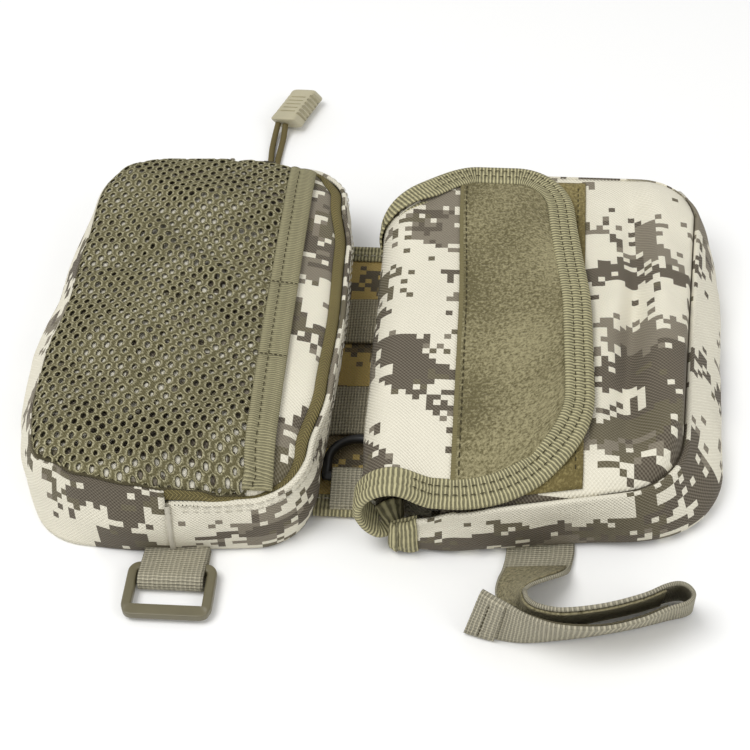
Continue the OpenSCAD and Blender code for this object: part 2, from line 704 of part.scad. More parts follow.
// Folded tape round the flap's three free edges
module flap_binding() {
    path = flap_path();
    high = flap_top + eps;
    low = flap_top - cloth_t - eps;
    color(olive) sweep([for (i = [0 : len(path) - 1])
        let (p = path[i], n = outward(path, i))
        wall([for (q = [[-bind_w, high + tape_t], [eps + tape_t, high + tape_t],
                        [eps + tape_t, low - tape_t], [-bind_w, low - tape_t]])
                 [p.x + n.x * q[0], p.y + n.y * q[0], q[1]]],
             [for (q = [[-bind_w, high], [eps, high], [eps, low], [-bind_w, low]])
                 [p.x + n.x * q[0], p.y + n.y * q[0], q[1]]])]);
}

// The loop patch keeps clear of the binding round the flap's free edge
module flap_loop_patch() {
    x1 = spine_x + flap_reach - bind_w - 1;
    y = flap_l / 2 - bind_w - 1.5;
    a = [x1 - patch_w + 3, -y];
    b = [x1, -y];
    c = [x1 - 5.5, y];
    d = [x1 - patch_w + 3, y];
    outline = concat([a], corner(a, b, c, min(flap_near_r - bind_w - 2, patch_w - 6), 9),
                     corner(b, c, d, flap_r - bind_w - 0.5), [d]);
    color(olive) plate(outline, flap_top, flap_top + patch_t);
}

// The hook patch under the flap meets the closure strip
module flap_hook_patch() {
    x1 = spine_x + flap_reach - bind_w - 7;
    low = flap_top - cloth_t;
    a = [x1 - patch_w + 18, -52];
    b = [x1, -52];
    c = [x1, 72];
    d = [x1 - patch_w + 18, 72];
    outline = concat([a], corner(a, b, c, 12), corner(b, c, d, 12), [d]);
    color(dark) plate(outline, low - patch_t, low);
}

// Where the strap meets the pouch's slanted near edge
function strap_seam(x) = -mouth_near + (x - mouth_x) * near_lean - 0.6;

// The strap's route: its left edge, which ends up lowest, then its right edge, which ends up highest
strap_route = [
    [[57.5, strap_seam(57.5), 0.9], [82.5, strap_seam(82.5), 0.9]], [[57.2, -89, 0.9], [82.3, -87, 1.1]],
    [[57, -95.6, 1], [81.8, -94, 2.8]],
    [[57.2, -103, 1], [80, -100.8, 9.2]], [[58.5, -109, 0.9], [76.5, -106.5, 17.6]],
    [[60.5, -113.5, 0.9], [70.5, -112, 23.4]], [[62, -117, 0.9], [65.6, -117.2, 25.2]],
    [[63, -119.8, 0.9], [63.2, -121.4, 25.6]], [[65.4, -121, 0.9], [64.4, -124.8, 25.4]],
    [[69.5, -120.6, 0.9], [68.5, -127, 25]], [[77, -118.5, 0.9], [77, -127.5, 24.2]],
    [[90, -114.5, 0.9], [91, -124.6, 23.8]], [[103, -110.5, 0.9], [104, -120, 24]],
    [[112, -107, 0.9], [111.5, -116, 24.2]], [[118, -105, 0.9], [116.4, -114.4, 24]],
    [[122, -105.4, 0.9], [119.8, -115.6, 23.7]], [[123.7, -108.6, 0.9], [121.2, -118.9, 23.6]],
    [[121.6, -111.4, 0.9], [118.8, -122, 23.4]], [[115, -113.6, 0.9], [112.5, -124.6, 23.2]],
    [[104, -117.4, 0.9], [103, -129.4, 22.8]], [[90, -121.2, 0.9], [90, -133.4, 22.7]],
    [[76, -124, 0.9], [75.2, -134.2, 23.7]], [[64, -125.6, 0.9], [64.6, -131.8, 25.1]],
    [[54, -124.6, 0.9], [57, -127.4, 25.5]], [[43.4, -121.8, 1.1], [48.6, -122, 25.5]]
];

// A point on the smooth curve through four neighbours
function eased(a, b, c, d, t) =
    0.5 * (2 * b + (c - a) * t + (2 * a - 5 * b + 4 * c - d) * t * t
           + (3 * b - a - 3 * c + d) * t * t * t);

// The route with two smooth stations added in each gap
strap_last = len(strap_route) - 1;
strap_fill = 3;
strap_line = [for (i = [0 : strap_last * strap_fill])
    let (k = min(floor(i / strap_fill), strap_last - 1), t = i / strap_fill - k)
    [for (edge = [0, 1])
        eased(strap_route[max(k - 1, 0)][edge], strap_route[k][edge], strap_route[k + 1][edge],
              strap_route[min(k + 2, strap_last)][edge], t)]];

// A ribbon along part of the strap's route, between two distances from its middle surface
function ribbon(first, last, low, high, inset) =
    [for (i = [first * strap_fill : last * strap_fill])
        let (a = strap_line[i][0], b = strap_line[i][1], w = unit(b - a))
        let (back = strap_line[max(i - 1, 0)], on = strap_line[min(i + 1, len(strap_line) - 1)])
        let (t = (on[0] + on[1]) - (back[0] + back[1]), n = unit(cross(t, w)))
        let (p = a + w * inset, q = b - w * inset)
        [p + n * low, q + n * low, q + n * high, p + n * high]];

module strap_webbing() {
    color(olive) sweep(ribbon(0, strap_last, -web_t / 2, web_t / 2, 0));
}

module strap_loop_patch() {
    color(olive) sweep(ribbon(2, 13, web_t / 2 + 0.25, web_t / 2 + patch_t + 0.2, 1.5));
}

module strap_hook_patch() {
    color(dark) sweep(ribbon(18, 23, web_t / 2 + 0.15, web_t / 2 + patch_t + 0.1, 1.5));
}

// The strap's end is folded back and sewn on its outer face
module strap_hem() {
    color(olive) sweep(ribbon(strap_last - 1, strap_last, -web_t * 1.4, -web_t / 2 - eps, 0.3));
}

bridge_lining();
bridge_panel();
bridge_web_far();
bridge_web_mid();
bridge_hem_far();
bridge_hem_near();
d_ring_tab();
d_ring();
zip_back_panel();
zip_outer_gusset();
zip_inner_gusset();
zip_piping_near();
zip_piping_far();
zip_front_panel();
zip_tape_lower();
net_edge_outer();
net_outer();
ring_webbing();
zip_lid_panel();
zip_tape_upper();
net_edge_mouth();
net_mouth();
net_binding();
slider_body();
pull_cord();
pull_tab();
square_ring();
flap_back_panel();
flap_gusset();
flap_front_panel();
mouth_binding_sides();
mouth_binding_front();
front_loop_strip();
flap_spine();
spine_binding();
flap_panel();
flap_lining();
flap_binding();
flap_loop_patch();
flap_hook_patch();
strap_webbing();
strap_loop_patch();
strap_hook_patch();
strap_hem();
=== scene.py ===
# Twin-pouch field pack: cloth shells, net, webbing, bindings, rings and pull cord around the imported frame.
import math

import bpy
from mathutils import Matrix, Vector, noise
from mathutils.bvhtree import BVHTree


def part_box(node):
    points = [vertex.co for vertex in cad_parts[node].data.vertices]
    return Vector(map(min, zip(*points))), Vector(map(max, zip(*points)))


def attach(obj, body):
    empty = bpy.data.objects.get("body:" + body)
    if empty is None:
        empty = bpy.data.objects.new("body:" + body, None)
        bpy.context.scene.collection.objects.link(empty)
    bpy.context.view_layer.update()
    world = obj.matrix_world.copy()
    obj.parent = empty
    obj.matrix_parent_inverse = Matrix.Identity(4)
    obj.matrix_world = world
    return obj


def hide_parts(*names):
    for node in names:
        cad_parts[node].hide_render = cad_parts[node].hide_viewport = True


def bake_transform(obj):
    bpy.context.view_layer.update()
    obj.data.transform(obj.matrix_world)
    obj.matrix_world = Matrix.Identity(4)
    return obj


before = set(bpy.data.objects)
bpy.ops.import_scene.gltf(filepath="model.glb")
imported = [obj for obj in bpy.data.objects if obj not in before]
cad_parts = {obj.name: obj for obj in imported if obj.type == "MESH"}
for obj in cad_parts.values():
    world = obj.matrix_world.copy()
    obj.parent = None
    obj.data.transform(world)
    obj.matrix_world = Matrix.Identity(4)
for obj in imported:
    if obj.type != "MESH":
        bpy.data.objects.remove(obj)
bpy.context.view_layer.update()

MM = 0.001
UP = Vector((0, 0, 1))
TURN = 2 * math.pi

# Thickness of the cloth walls, the fronts, the flap's cover, the folded binding and the net, in mm
WALL_THICK, FRONT_THICK, COVER_THICK, TAPE_THICK, NET_THICK = 1.6, 1.5, 1.8, 0.7, 0.7


# Camera: the photograph's angle, lens and crop.
CAMERA_TURN = math.radians(3)
CAMERA_LIFT = math.radians(47)
CAMERA_AWAY = 0.637
CAMERA_AIM = Vector((0.02095, 0.00096, 0))
back = Vector((math.sin(CAMERA_TURN) * math.cos(CAMERA_LIFT),
               -math.cos(CAMERA_TURN) * math.cos(CAMERA_LIFT), math.sin(CAMERA_LIFT)))
lens = bpy.data.cameras.new("camera")
lens.sensor_width = 36
lens.lens = 74.98
lens.shift_x = -0.06
lens.clip_start = 0.01
camera = bpy.data.objects.new("camera", lens)
camera.location = CAMERA_AIM + back * CAMERA_AWAY
camera.rotation_euler = back.to_track_quat("Z", "Y").to_euler()
bpy.context.collection.objects.link(camera)
bpy.context.scene.camera = camera


# Shader sums: a socket that adds the Math node an operator needs.
class Link:
    def __init__(self, finish, socket):
        self.finish = finish
        self.socket = socket

    def sum(self, operation, *others):
        return self.finish.node("Math", {"operation": operation}, dict(enumerate((self,) + others)))

    def __add__(self, other):
        return self.sum("ADD", other)

    def __sub__(self, other):
        return self.sum("SUBTRACT", other)

    def __rsub__(self, other):
        return self.finish.node("Math", {"operation": "SUBTRACT"}, {0: other, 1: self})

    def __mul__(self, other):
        return self.sum("MULTIPLY", other)

    def __mod__(self, other):
        return self.sum("FLOORED_MODULO", other)

    def __gt__(self, other):
        return self.sum("GREATER_THAN", other)

    def __lt__(self, other):
        return self.sum("LESS_THAN", other)

    __radd__ = __add__
    __rmul__ = __mul__


# One material: a Principled shader and what feeds it.
class Finish:
    def __init__(self, name, rough, sheen=0.0, specular=0.5, metallic=0.0):
        self.material = bpy.data.materials.new(name)
        self.material.use_nodes = True
        self.tree = self.material.node_tree
        self.shader = self.tree.nodes["Principled BSDF"]
        self.feed(self.shader, "Roughness", rough)
        self.feed(self.shader, "Sheen Weight", sheen)
        self.feed(self.shader, "Specular IOR Level", specular)
        self.feed(self.shader, "Metallic", metallic)

    def feed(self, node, key, value):
        if isinstance(value, Link):
            self.tree.links.new(value.socket, node.inputs[key])
        else:
            node.inputs[key].default_value = value

    def node(self, kind, settings=None, inputs=None, output=0):
        node = self.tree.nodes.new("ShaderNode" + kind)
        for key, value in (settings or {}).items():
            setattr(node, key, value)
        for key, value in (inputs or {}).items():
            self.feed(node, key, value)
        return Link(self, node.outputs[output])

    def vector(self, operation, *inputs):
        return self.node("VectorMath", {"operation": operation}, dict(enumerate(inputs)))

    # Millimetres along the piece's own weave, or in the object's frame
    def place(self, source="weave"):
        if source == "weave":
            spot = self.node("UVMap", {"uv_map": "weave"})
        else:
            spot = self.node("TexCoord", output=3)
        return self.vector("MULTIPLY", spot, (1000, 1000, 1000))

    def part(self, vector, axis):
        return self.node("SeparateXYZ", inputs={0: vector}, output=axis)

    def grain(self, vector, scale, detail=2, shift=(0, 0, 0), rough=0.5):
        spot = self.vector("ADD", vector, shift)
        inputs = {"Vector": spot, "Scale": scale, "Detail": detail, "Roughness": rough}
        return self.node("TexNoise", inputs=inputs)

    def mix(self, share, first, second):
        return self.node("Mix", {"data_type": "RGBA"}, {0: share, 6: first, 7: second}, output=2)

    def shade(self, colour, factor):
        return self.node("Mix", {"data_type": "RGBA", "blend_type": "MULTIPLY"},
                         {0: 1.0, 6: colour, 7: self.grey(factor)}, output=2)

    def held(self, value, low=-1.0, high=1.0):
        return self.node("Clamp", inputs={0: value, 1: low, 2: high})

    def grey(self, value):
        return self.node("CombineColor", inputs={0: value, 1: value, 2: value})

    def colour(self, value):
        self.feed(self.shader, "Base Color", value)

    def rough(self, value):
        self.feed(self.shader, "Roughness", value)

    def bump(self, height, distance, strength=1.0):
        bump = self.node("Bump", inputs={"Height": height, "Distance": distance, "Strength": strength})
        self.feed(self.shader, "Normal", bump)


def tone(red, green, blue):
    linear = [c / 255 / 12.92 if c / 255 <= 0.04045 else ((c / 255 + 0.055) / 1.055) ** 2.4
              for c in (red, green, blue)]
    return (*linear, 1)


PRINT_BLOCK = (2.65, 2.6, 1)
TWILL_PITCH = 1.5


# Printed cloth: square blocks in a few tones over a fine twill. Beyond veil_x it lies in a net's shade.
def printed_cloth(name, base, grey, dark, olive, amounts, shift, veil_x=None):
    f = Finish(name, 0.82, sheen=0.04, specular=0.2)
    mm = f.place()
    cell = f.vector("FLOOR", f.vector("DIVIDE", mm, PRINT_BLOCK))
    stray = f.node("TexWhiteNoise", inputs={"Vector": f.vector("ADD", cell, shift)}) - 0.5
    kick = stray * stray * stray * 0.75

    def field(number, stretch=(0.06, 0.094, 1)):
        away = (shift[0] + 17.3 * number, shift[1] + 9.7 * number, 0)
        return f.grain(f.vector("MULTIPLY", cell, stretch), 1, 2.6, away, 0.58) + kick

    colour = f.mix(field(0) > amounts[0], base, grey)
    colour = f.mix(field(1) > amounts[1], colour, dark)
    colour = f.mix(field(2) > amounts[2], colour, olive)
    colour = f.mix(field(3, (0.14, 0.17, 1)) > amounts[3], colour, base)
    x, y = f.part(mm, 0), f.part(mm, 1)
    twill = ((x + y) * (TURN / TWILL_PITCH)).sum("SINE")
    yarn = ((x - y) * (TURN / TWILL_PITCH)).sum("SINE")
    weave = twill * 0.65 + yarn * 0.35
    soil = f.grain(mm, 0.035, 3)
    colour = f.mix((weave + 1) * 0.19, colour, tone(170, 162, 144))
    colour = f.shade(colour, 0.99 + weave * 0.05 + (soil - 0.5) * 0.16)
    if veil_x is not None:
        colour = f.mix((x < veil_x) * 0.12, colour, tone(52, 47, 30))
    f.colour(colour)
    f.rough(0.78 + weave * 0.06)
    f.bump(weave * 0.6 + (f.grain(mm, 0.9, 2) - 0.5) * 0.5, 0.0003, 0.9)
    return f.material


# Woven tape: strong cross ribs with dark gaps, a few lengthwise yarns and a little wear.
def ribbed_tape(name, colour, pitch, groove, wear, cross=2.6, cross_groove=0.05):
    f = Finish(name, 0.8, specular=0.2)
    mm = f.place()
    along, across = f.part(mm, 0), f.part(mm, 1)
    wander = (f.grain(mm, 0.4, 1) - 0.5) * 0.5
    rib = f.held(((along + wander) * (TURN / pitch)).sum("SINE") * 1.6 + 0.25)
    yarn = f.held((across * (TURN / cross)).sum("SINE") * 1.5)
    rubbed = f.grain(mm, 0.07, 3)
    shade = 0.95 + rib * groove + yarn * cross_groove + (rubbed - 0.5) * wear
    f.colour(f.shade(colour, shade))
    f.rough(0.76 + rib * 0.06)
    f.bump(rib * 0.7 + yarn * cross_groove * 4 + f.grain(mm, 2.2, 1) * 0.4, 0.0004, 0.9)
    return f.material


# Loop pile: a fuzzy nap, lighter and darker in broad patches, with a smooth woven selvedge along one side.
def loop_pile(name, colour, pale, selvedge):
    f = Finish(name, 0.95, sheen=0.06, specular=0.15)
    mm = f.place()
    nap = f.grain(mm, 0.95, 3, rough=0.6)
    tuft = f.grain(mm, 0.45, 2, (5.2, 9.1, 0))
    # Broad patches, lighter and darker.
    broad_patch = f.grain(f.vector("MULTIPLY", mm, (0.02, 0.016, 1)), 1, 1, (1.7, 4.4, 0))
    edge = f.part(mm, 0) < selvedge
    fuzz = f.mix((nap - 0.4) * 3.4 + (tuft - 0.5) * 1.6 + (broad_patch - 0.5) * 2.8, f.shade(colour, 0.74), pale)
    rib = (f.part(mm, 1) * (TURN / 0.9)).sum("SINE")
    f.colour(f.mix(edge, fuzz, f.shade(colour, 0.98 + rib * 0.1)))
    f.rough(0.95 - edge * 0.2)
    f.bump((nap + tuft * 0.5) * (1 - edge) * 1.6 + edge * rib * 0.12, 0.0008, 0.9)
    return f.material


# Knitted net: painted shade at each gap's edge, a painted highlight on the ring round it, plainer where yarns
# meet.
def net_yarn(name, colour, gap_shade, pale):
    f = Finish(name, 0.8, specular=0.2)
    mm = f.place()
    ridge = f.node("Attribute", {"attribute_name": "ridge"}, output=2)
    knit = f.grain(mm, 1.6, 2, rough=0.7)
    worn = f.grain(mm, 0.03, 2)
    twist = ((f.part(mm, 0) * 1.2 + f.part(mm, 1)) * (TURN / 1.3)).sum("SINE")
    # Painted highlight on the raised ring and painted shade at the gap's sunken edge.
    painted_highlight = f.held((ridge - 0.62) * 2.6 + (knit - 0.5) * 2.6, 0, 1)
    yarn = f.mix(f.held(ridge * 2.5, 0, 1), gap_shade, f.mix(painted_highlight, colour, pale))
    f.colour(f.shade(yarn, 0.98 + (knit - 0.5) * 1.3 + twist * 0.08 + (worn - 0.5) * 0.4))
    f.bump(knit + twist * 0.3, 0.0006, 0.9)
    return f.material


# Zip tape: slanting ribs along the run that meet in a herringbone at its middle.
def zip_weave(name, colour):
    f = Finish(name, 0.7, specular=0.3)
    mm = f.place()
    along, across = f.part(mm, 0), f.part(mm, 1)
    slant = (across % 5.2 - 2.6).sum("ABSOLUTE")
    chevron = ((along + slant * 0.8) * (TURN / 1.5)).sum("SINE")
    f.colour(f.shade(colour, 0.95 + chevron * 0.28 + (f.grain(mm, 0.06, 2) - 0.5) * 0.3))
    f.bump(chevron, 0.0005, 1.0)
    return f.material


# Moulded plastic with a faint cast grain and rubbed patches.
def moulded(name, colour, rough):
    f = Finish(name, rough)
    mm = f.place("object")
    cast = f.grain(mm, 1.3, 3)
    rubbed = f.grain(mm, 0.12, 2)
    f.colour(f.shade(colour, 0.86 + rubbed * 0.28))
    f.rough(rough - 0.1 + rubbed * 0.2)
    f.bump(cast, 0.00006, 0.6)
    return f.material


# Plain close cloth: lining, hook tape and thread.
def close_cloth(name, colour, pitch, depth=0.0002):
    f = Finish(name, 0.75, specular=0.25)
    mm = f.place()
    warp = (f.part(mm, 0) * (TURN / pitch)).sum("SINE")
    weft = (f.part(mm, 1) * (TURN / pitch)).sum("SINE")
    knot = warp * weft
    f.colour(f.shade(colour, 0.9 + knot * 0.12 + (f.grain(mm, 0.08, 2) - 0.5) * 0.3))
    f.bump(knot, depth, 0.8)
    return f.material


# Painted slider metal, worn at random.
def slider_paint(name, colour):
    f = Finish(name, 0.45, metallic=0.6)
    mm = f.place("object")
    chip = f.grain(mm, 0.9, 4)
    f.colour(f.mix(chip > 0.66, colour, tone(150, 145, 130)))
    f.rough(0.35 + chip * 0.25)
    f.bump(chip, 0.00008, 0.5)
    return f.material


# Where each piece is cut from the printed roll, in mm, so that its large patches fall as in the photo
LID_CUT = (-873, -57)
INNER_CUT = (648, 747.5)
OUTER_CUT = (418.5, -479.5)
COVER_CUT = (-891.5, -84.5)
PANEL_CUT = (-640, 452.5)
GUSSET_CUT = (-18.5, -522.5)
CREAM = tone(238, 233, 214)
CAMO_TONES = (CREAM, tone(122, 114, 99), tone(72, 63, 51), tone(86, 79, 56))
CAMO_SPLIT = (0.55, 0.56, 0.6, 0.65)
CAMO_SHIFT = (3.1, 8.4, 0)
UNDER_NET = LID_CUT[0] - 37
CAMO = printed_cloth("printed cloth", *CAMO_TONES, CAMO_SPLIT, CAMO_SHIFT)
VEILED_CAMO = printed_cloth("printed cloth under net", *CAMO_TONES, CAMO_SPLIT, CAMO_SHIFT, UNDER_NET)
# The bridge's ochre ground and its band webbing are paler than their own colour: painted light against the
# shade between the pouches.
BRIDGE_TONES = (tone(196, 168, 92), tone(128, 112, 72), tone(80, 70, 50), tone(110, 94, 58))
BRIDGE_CAMO = printed_cloth("bridge cloth", *BRIDGE_TONES, (0.52, 0.55, 0.6, 0.68), (13.1, 28.4, 0))
WEBBING = ribbed_tape("webbing", tone(172, 166, 145), 1.05, 0.2, 0.3, cross=1.7, cross_groove=0.13)
BAND_WEBBING = ribbed_tape("band webbing", tone(176, 168, 144), 1.25, 0.2, 0.3, cross=1.6, cross_groove=0.14)
BINDING = ribbed_tape("binding tape", tone(160, 154, 120), 1.5, 0.44, 0.3, cross=4)
MOUTH_BINDING = ribbed_tape("mouth binding tape", tone(152, 146, 114), 1.0, 0.26, 0.25, cross=4)
NET_YARN = net_yarn("net yarn", tone(106, 100, 70), tone(66, 59, 38), tone(178, 172, 140))
# Net border tone: partly the seam tape's own colour, partly painted shade for the crease by the wall.
NET_SEAM_AND_SHADE = close_cloth("net seam and shade", tone(86, 79, 56), 0.8)
ZIP_TAPE = zip_weave("zip tape", tone(138, 126, 80))
ZIP_COIL = close_cloth("zip coil", tone(44, 39, 27), 0.6)
PILE = loop_pile("loop pile", tone(120, 112, 82), tone(158, 150, 118), 0)
PATCH_PILE = loop_pile("patch pile", tone(120, 112, 78), tone(164, 156, 120), 1.7)
STRIP_PILE = loop_pile("strip pile", tone(126, 113, 70), tone(152, 139, 93), 0)
HOOK = close_cloth("hook tape", tone(92, 86, 66), 0.9, depth=0.0005)
LINING = close_cloth("lining", tone(54, 49, 39), 0.7)
PALE_THREAD = close_cloth("pale thread", tone(230, 224, 206), 0.5)
KHAKI_THREAD = close_cloth("khaki thread", tone(82, 75, 50), 0.5)
# Dark cord colour for the flap seam's crease: painted shade.
SEAM_SHADE_CORD = close_cloth("seam shade cord", tone(92, 83, 66), 0.7)
CORD_BRAID = close_cloth("cord braid", tone(104, 93, 58), 0.8, depth=0.0005)
BLACK = moulded("black plastic", tone(30, 29, 28), 0.42)
RING_BROWN = moulded("ring plastic", tone(103, 97, 74), 0.36)
BEIGE = moulded("beige plastic", tone(178, 171, 143), 0.5)
SLIDER = slider_paint("slider paint", tone(66, 60, 44))


# Paths and smooth values.
class Path:
    def __init__(self, points):
        self.points = [Vector(p) for p in points]
        self.marks = [0.0]
        for a, b in zip(self.points, self.points[1:]):
            self.marks.append(self.marks[-1] + (b - a).length)
        self.length = self.marks[-1]

    def at(self, share):
        mark = min(max(share, 0), 1) * self.length
        low, high = 0, len(self.marks) - 1
        while high - low > 1:
            middle = (low + high) // 2
            if self.marks[middle] <= mark:
                low = middle
            else:
                high = middle
        gap = self.marks[high] - self.marks[low]
        return self.points[low].lerp(self.points[high], (mark - self.marks[low]) / gap if gap else 0)

    def heading(self, share, reach=0.004):
        return (self.at(share + reach) - self.at(share - reach)).normalized()

    def outward(self, share):
        way = self.heading(share)
        return Vector((way.y, -way.x, 0))


# An open outline of corners (x, y, radius), with each corner drawn as an arc
ARC_STEPS = 12


def rounded(corners):
    points = [Vector(corners[0][:2])]
    for before, at, after in zip(corners, corners[1:], corners[2:]):
        a, c, b = (Vector(p[:2]) for p in (before, at, after))
        u, v = (a - c).normalized(), (b - c).normalized()
        half = u.angle(v) / 2
        centre = c + (u + v).normalized() * at[2] / math.sin(half)
        first = c + u * at[2] / math.tan(half) - centre
        start = math.atan2(first.y, first.x)
        for i in range(ARC_STEPS + 1):
            angle = start + (math.pi - 2 * half) * i / ARC_STEPS
            points.append(centre + at[2] * Vector((math.cos(angle), math.sin(angle))))
    return points + [Vector(corners[-1][:2])]


def eased(t):
    t = min(max(t, 0), 1)
    return t * t * (3 - 2 * t)


# The values at t between keys, each a place and its values
def keyed(keys, t):
    for first, second in zip(keys, keys[1:]):
        if t <= second[0]:
            s = eased((t - first[0]) / (second[0] - first[0]))
            return [a + (b - a) * s for a, b in zip(first[1:], second[1:])]
    return list(keys[-1][1:])


def mixed(a, b, t):
    return a + (b - a) * t


# A smooth curve through all the points
def curved(points, t):
    k = min(int(t * (len(points) - 1)), len(points) - 2)
    t = t * (len(points) - 1) - k
    a, b, c, d = (points[min(max(k + i, 0), len(points) - 1)] for i in (-1, 0, 1, 2))
    line = 2 * b + (c - a) * t
    return 0.5 * (line + (2 * a - 5 * b + 4 * c - d) * t * t + (3 * b - a - 3 * c + d) * t ** 3)


def crumple(x, y, size, seed):
    return noise.noise(Vector((x / size, y / size, seed)))


# Piece making: a grid is added, its points are moved into place, and it is thickened.
def alone():
    if bpy.context.object and bpy.context.object.mode != "OBJECT":
        bpy.ops.object.mode_set(mode="OBJECT")
    bpy.ops.object.select_all(action="DESELECT")


def taken(piece):
    alone()
    piece.select_set(True)
    bpy.context.view_layer.objects.active = piece


def cloth(name, cells, place, weave, closed=False, cut=(0, 0)):
    alone()
    bpy.ops.mesh.primitive_grid_add(x_subdivisions=cells[0], y_subdivisions=cells[1], size=1)
    piece = bpy.context.object
    piece.name = name
    mesh = piece.data
    spots = [(v.co.x + 0.5, v.co.y + 0.5) for v in mesh.vertices]
    for layer in list(mesh.uv_layers):
        mesh.uv_layers.remove(layer)
    layer = mesh.uv_layers.new(name="weave")
    for loop in mesh.loops:
        u, w = weave(*spots[loop.vertex_index])
        layer.data[loop.index].uv = ((u + cut[0]) * MM, (w + cut[1]) * MM)
    for vertex, spot in zip(mesh.vertices, spots):
        vertex.co = Vector(place(*spot)) * MM
    if closed:
        welded(piece)
    return piece


def welded(piece):
    taken(piece)
    bpy.ops.object.mode_set(mode="EDIT")
    bpy.ops.mesh.select_all(action="SELECT")
    bpy.ops.mesh.remove_doubles(threshold=0.00001)
    bpy.ops.object.mode_set(mode="OBJECT")
    return piece


def changed(piece, kind, **settings):
    taken(piece)
    modifier = piece.modifiers.new(kind.lower(), kind)
    for key, value in settings.items():
        setattr(modifier, key, value)
    bpy.ops.object.modifier_apply(modifier=modifier.name)
    return piece


def thickened(piece, thick, offset=-1, even_wall=True, **settings):
    return changed(piece, "SOLIDIFY", thickness=thick * MM, offset=offset,
                   use_even_offset=even_wall, **settings)


# A net or a row of stitches, from its points in metres, its faces and each point's place in the weave
def meshed(name, points, faces, spots):
    mesh = bpy.data.meshes.new(name)
    mesh.from_pydata(points, [], faces)
    layer = mesh.uv_layers.new(name="weave")
    for loop in mesh.loops:
        layer.data[loop.index].uv = spots[loop.vertex_index]
    piece = bpy.data.objects.new(name, mesh)
    bpy.context.collection.objects.link(piece)
    return piece


def dressed(piece, finish, slot, body, *nodes, lining=None):
    piece.data.materials.clear()
    piece.data.materials.append(finish)
    if lining:
        piece.data.materials.append(lining)
    for face in piece.data.polygons:
        face.use_smooth = True
    if body:
        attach(piece, body)
    if nodes:
        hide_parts(*nodes)
    return piece


# A piece as a surface to drop points on, and the height at which one lands
def surface(piece):
    points = [v.co for v in piece.data.vertices]
    return BVHTree.FromPolygons(points, [p.vertices for p in piece.data.polygons])


def fallen(tree, x, y, default):
    hit = tree.ray_cast(Vector((x, y, 100)) * MM, -UP)
    return hit[0].z / MM if hit[0] else default


# A row of sewn stitches, each a small spindle: the share of its length, of its radius, and its rise.
STITCH_FORM = ((0, 0.35, -0.25), (0.22, 1, 0.12), (0.78, 1, 0.12), (1, 0.35, -0.25))
STITCH_SIDES = 6


def sewn(name, line, lift, finish, slot, body, long, gap, radius):
    path = Path([p for p, n in line])
    ups = [n for p, n in line]
    count = max(1, int(path.length / (long + gap)))
    points, faces, spots = [], [], []
    sides, rings = STITCH_SIDES, len(STITCH_FORM)
    for i in range(count):
        first, last = i * (long + gap) / path.length, (i * (long + gap) + long) / path.length
        start = len(points)
        up = ups[min(int((first + last) / 2 * (len(ups) - 1) + 0.5), len(ups) - 1)].normalized()
        for share, fat, rise in STITCH_FORM:
            centre = path.at(mixed(first, last, share)) + up * (lift + rise)
            side = path.heading((first + last) / 2).cross(up).normalized()
            for k in range(sides):
                angle = TURN * k / sides
                ray = side * math.cos(angle) + up * math.sin(angle) * 0.8
                points.append((centre + ray * radius * fat) * MM)
                spots.append((share * long * MM, k * 0.3 * MM))
        for ring in range(rings - 1):
            for k in range(sides):
                a, b = start + ring * sides + k, start + ring * sides + (k + 1) % sides
                faces.append((a, a + sides, b + sides, b))
        faces.append(tuple(start + k for k in range(sides)))
        faces.append(tuple(start + (rings - 1) * sides + k for k in reversed(range(sides))))
    piece = meshed(name, points, faces, spots)
    taken(piece)
    bpy.ops.object.mode_set(mode="EDIT")
    bpy.ops.mesh.select_all(action="SELECT")
    bpy.ops.mesh.normals_make_consistent(inside=False)
    bpy.ops.object.mode_set(mode="OBJECT")
    return dressed(piece, finish, slot, body)


# Folded tape over an edge, puffed between its sewn rows: line holds points, upward and inward directions.
def edge_tape(name, line, width, half, under=None, low=None, rows=(0.33, 0.67), puff=0.4, upright=False):
    points = Path([p for p, up, inward in line])
    count = len(line) - 1
    under = width if under is None else under
    low = half if low is None else low
    bands = [1.0] + sorted(rows, reverse=True) + [0.05]
    section = [(width, half - 0.2)]
    for outer, inner in zip(bands, bands[1:]):
        for q in (0.75, 0.5, 0.25):
            section.append((width * mixed(inner, outer, q), half + puff * math.sin(math.pi * q)))
        section.append((width * inner, half - 0.1))
    section = Path(section + [(-0.45, half * 0.6), (-0.7, 0), (-0.45, -low * 0.6), (0.4, -low),
                              (under * 0.5, -low), (under, -low)])

    def place(u, w):
        spot = section.at(w)
        k = min(int(u * count), count - 1)
        t = u * count - k
        up = line[k][1].lerp(line[k + 1][1], t).normalized()
        inward = line[k][2].lerp(line[k + 1][2], t).normalized()
        return line[k][0].lerp(line[k + 1][0], t) + inward * spot.x + up * spot.y

    def weave(u, w):
        spot = u * points.length, w * section.length
        return spot[::-1] if upright else spot

    piece = cloth(name, (count, 36), place, weave)
    return thickened(piece, TAPE_THICK, offset=1)


# The same line with its points at even steps
def even(line, step):
    path = Path([p for p, up, inward in line])
    count = max(2, int(path.length / step))
    result = []
    for i in range(count + 1):
        mark = path.length * i / count
        k = 0
        while k < len(path.marks) - 2 and path.marks[k + 1] < mark:
            k += 1
        t = (mark - path.marks[k]) / max(path.marks[k + 1] - path.marks[k], 1e-6)
        result.append(tuple(line[k][j].lerp(line[k + 1][j], t) for j in range(3)))
    return result


# Zip pouch: plan, wall tops and crown.
LID_X = -65.3
FOLD_NEAR, FOLD_FAR = -92.6, 88.0
INNER = Path(rounded([(LID_X, FOLD_NEAR, 0), (-15.8, -88.5, 21), (-15.8, 88, 20), (LID_X, FOLD_FAR, 0)]))
OUTER = Path(rounded([(LID_X, FOLD_FAR, 0), (-117.5, 89, 27), (-128.4, -34, 150), (-117.4, -90.4, 24),
                      (-80, -93.6, 90), (LID_X, FOLD_NEAR, 0)]))

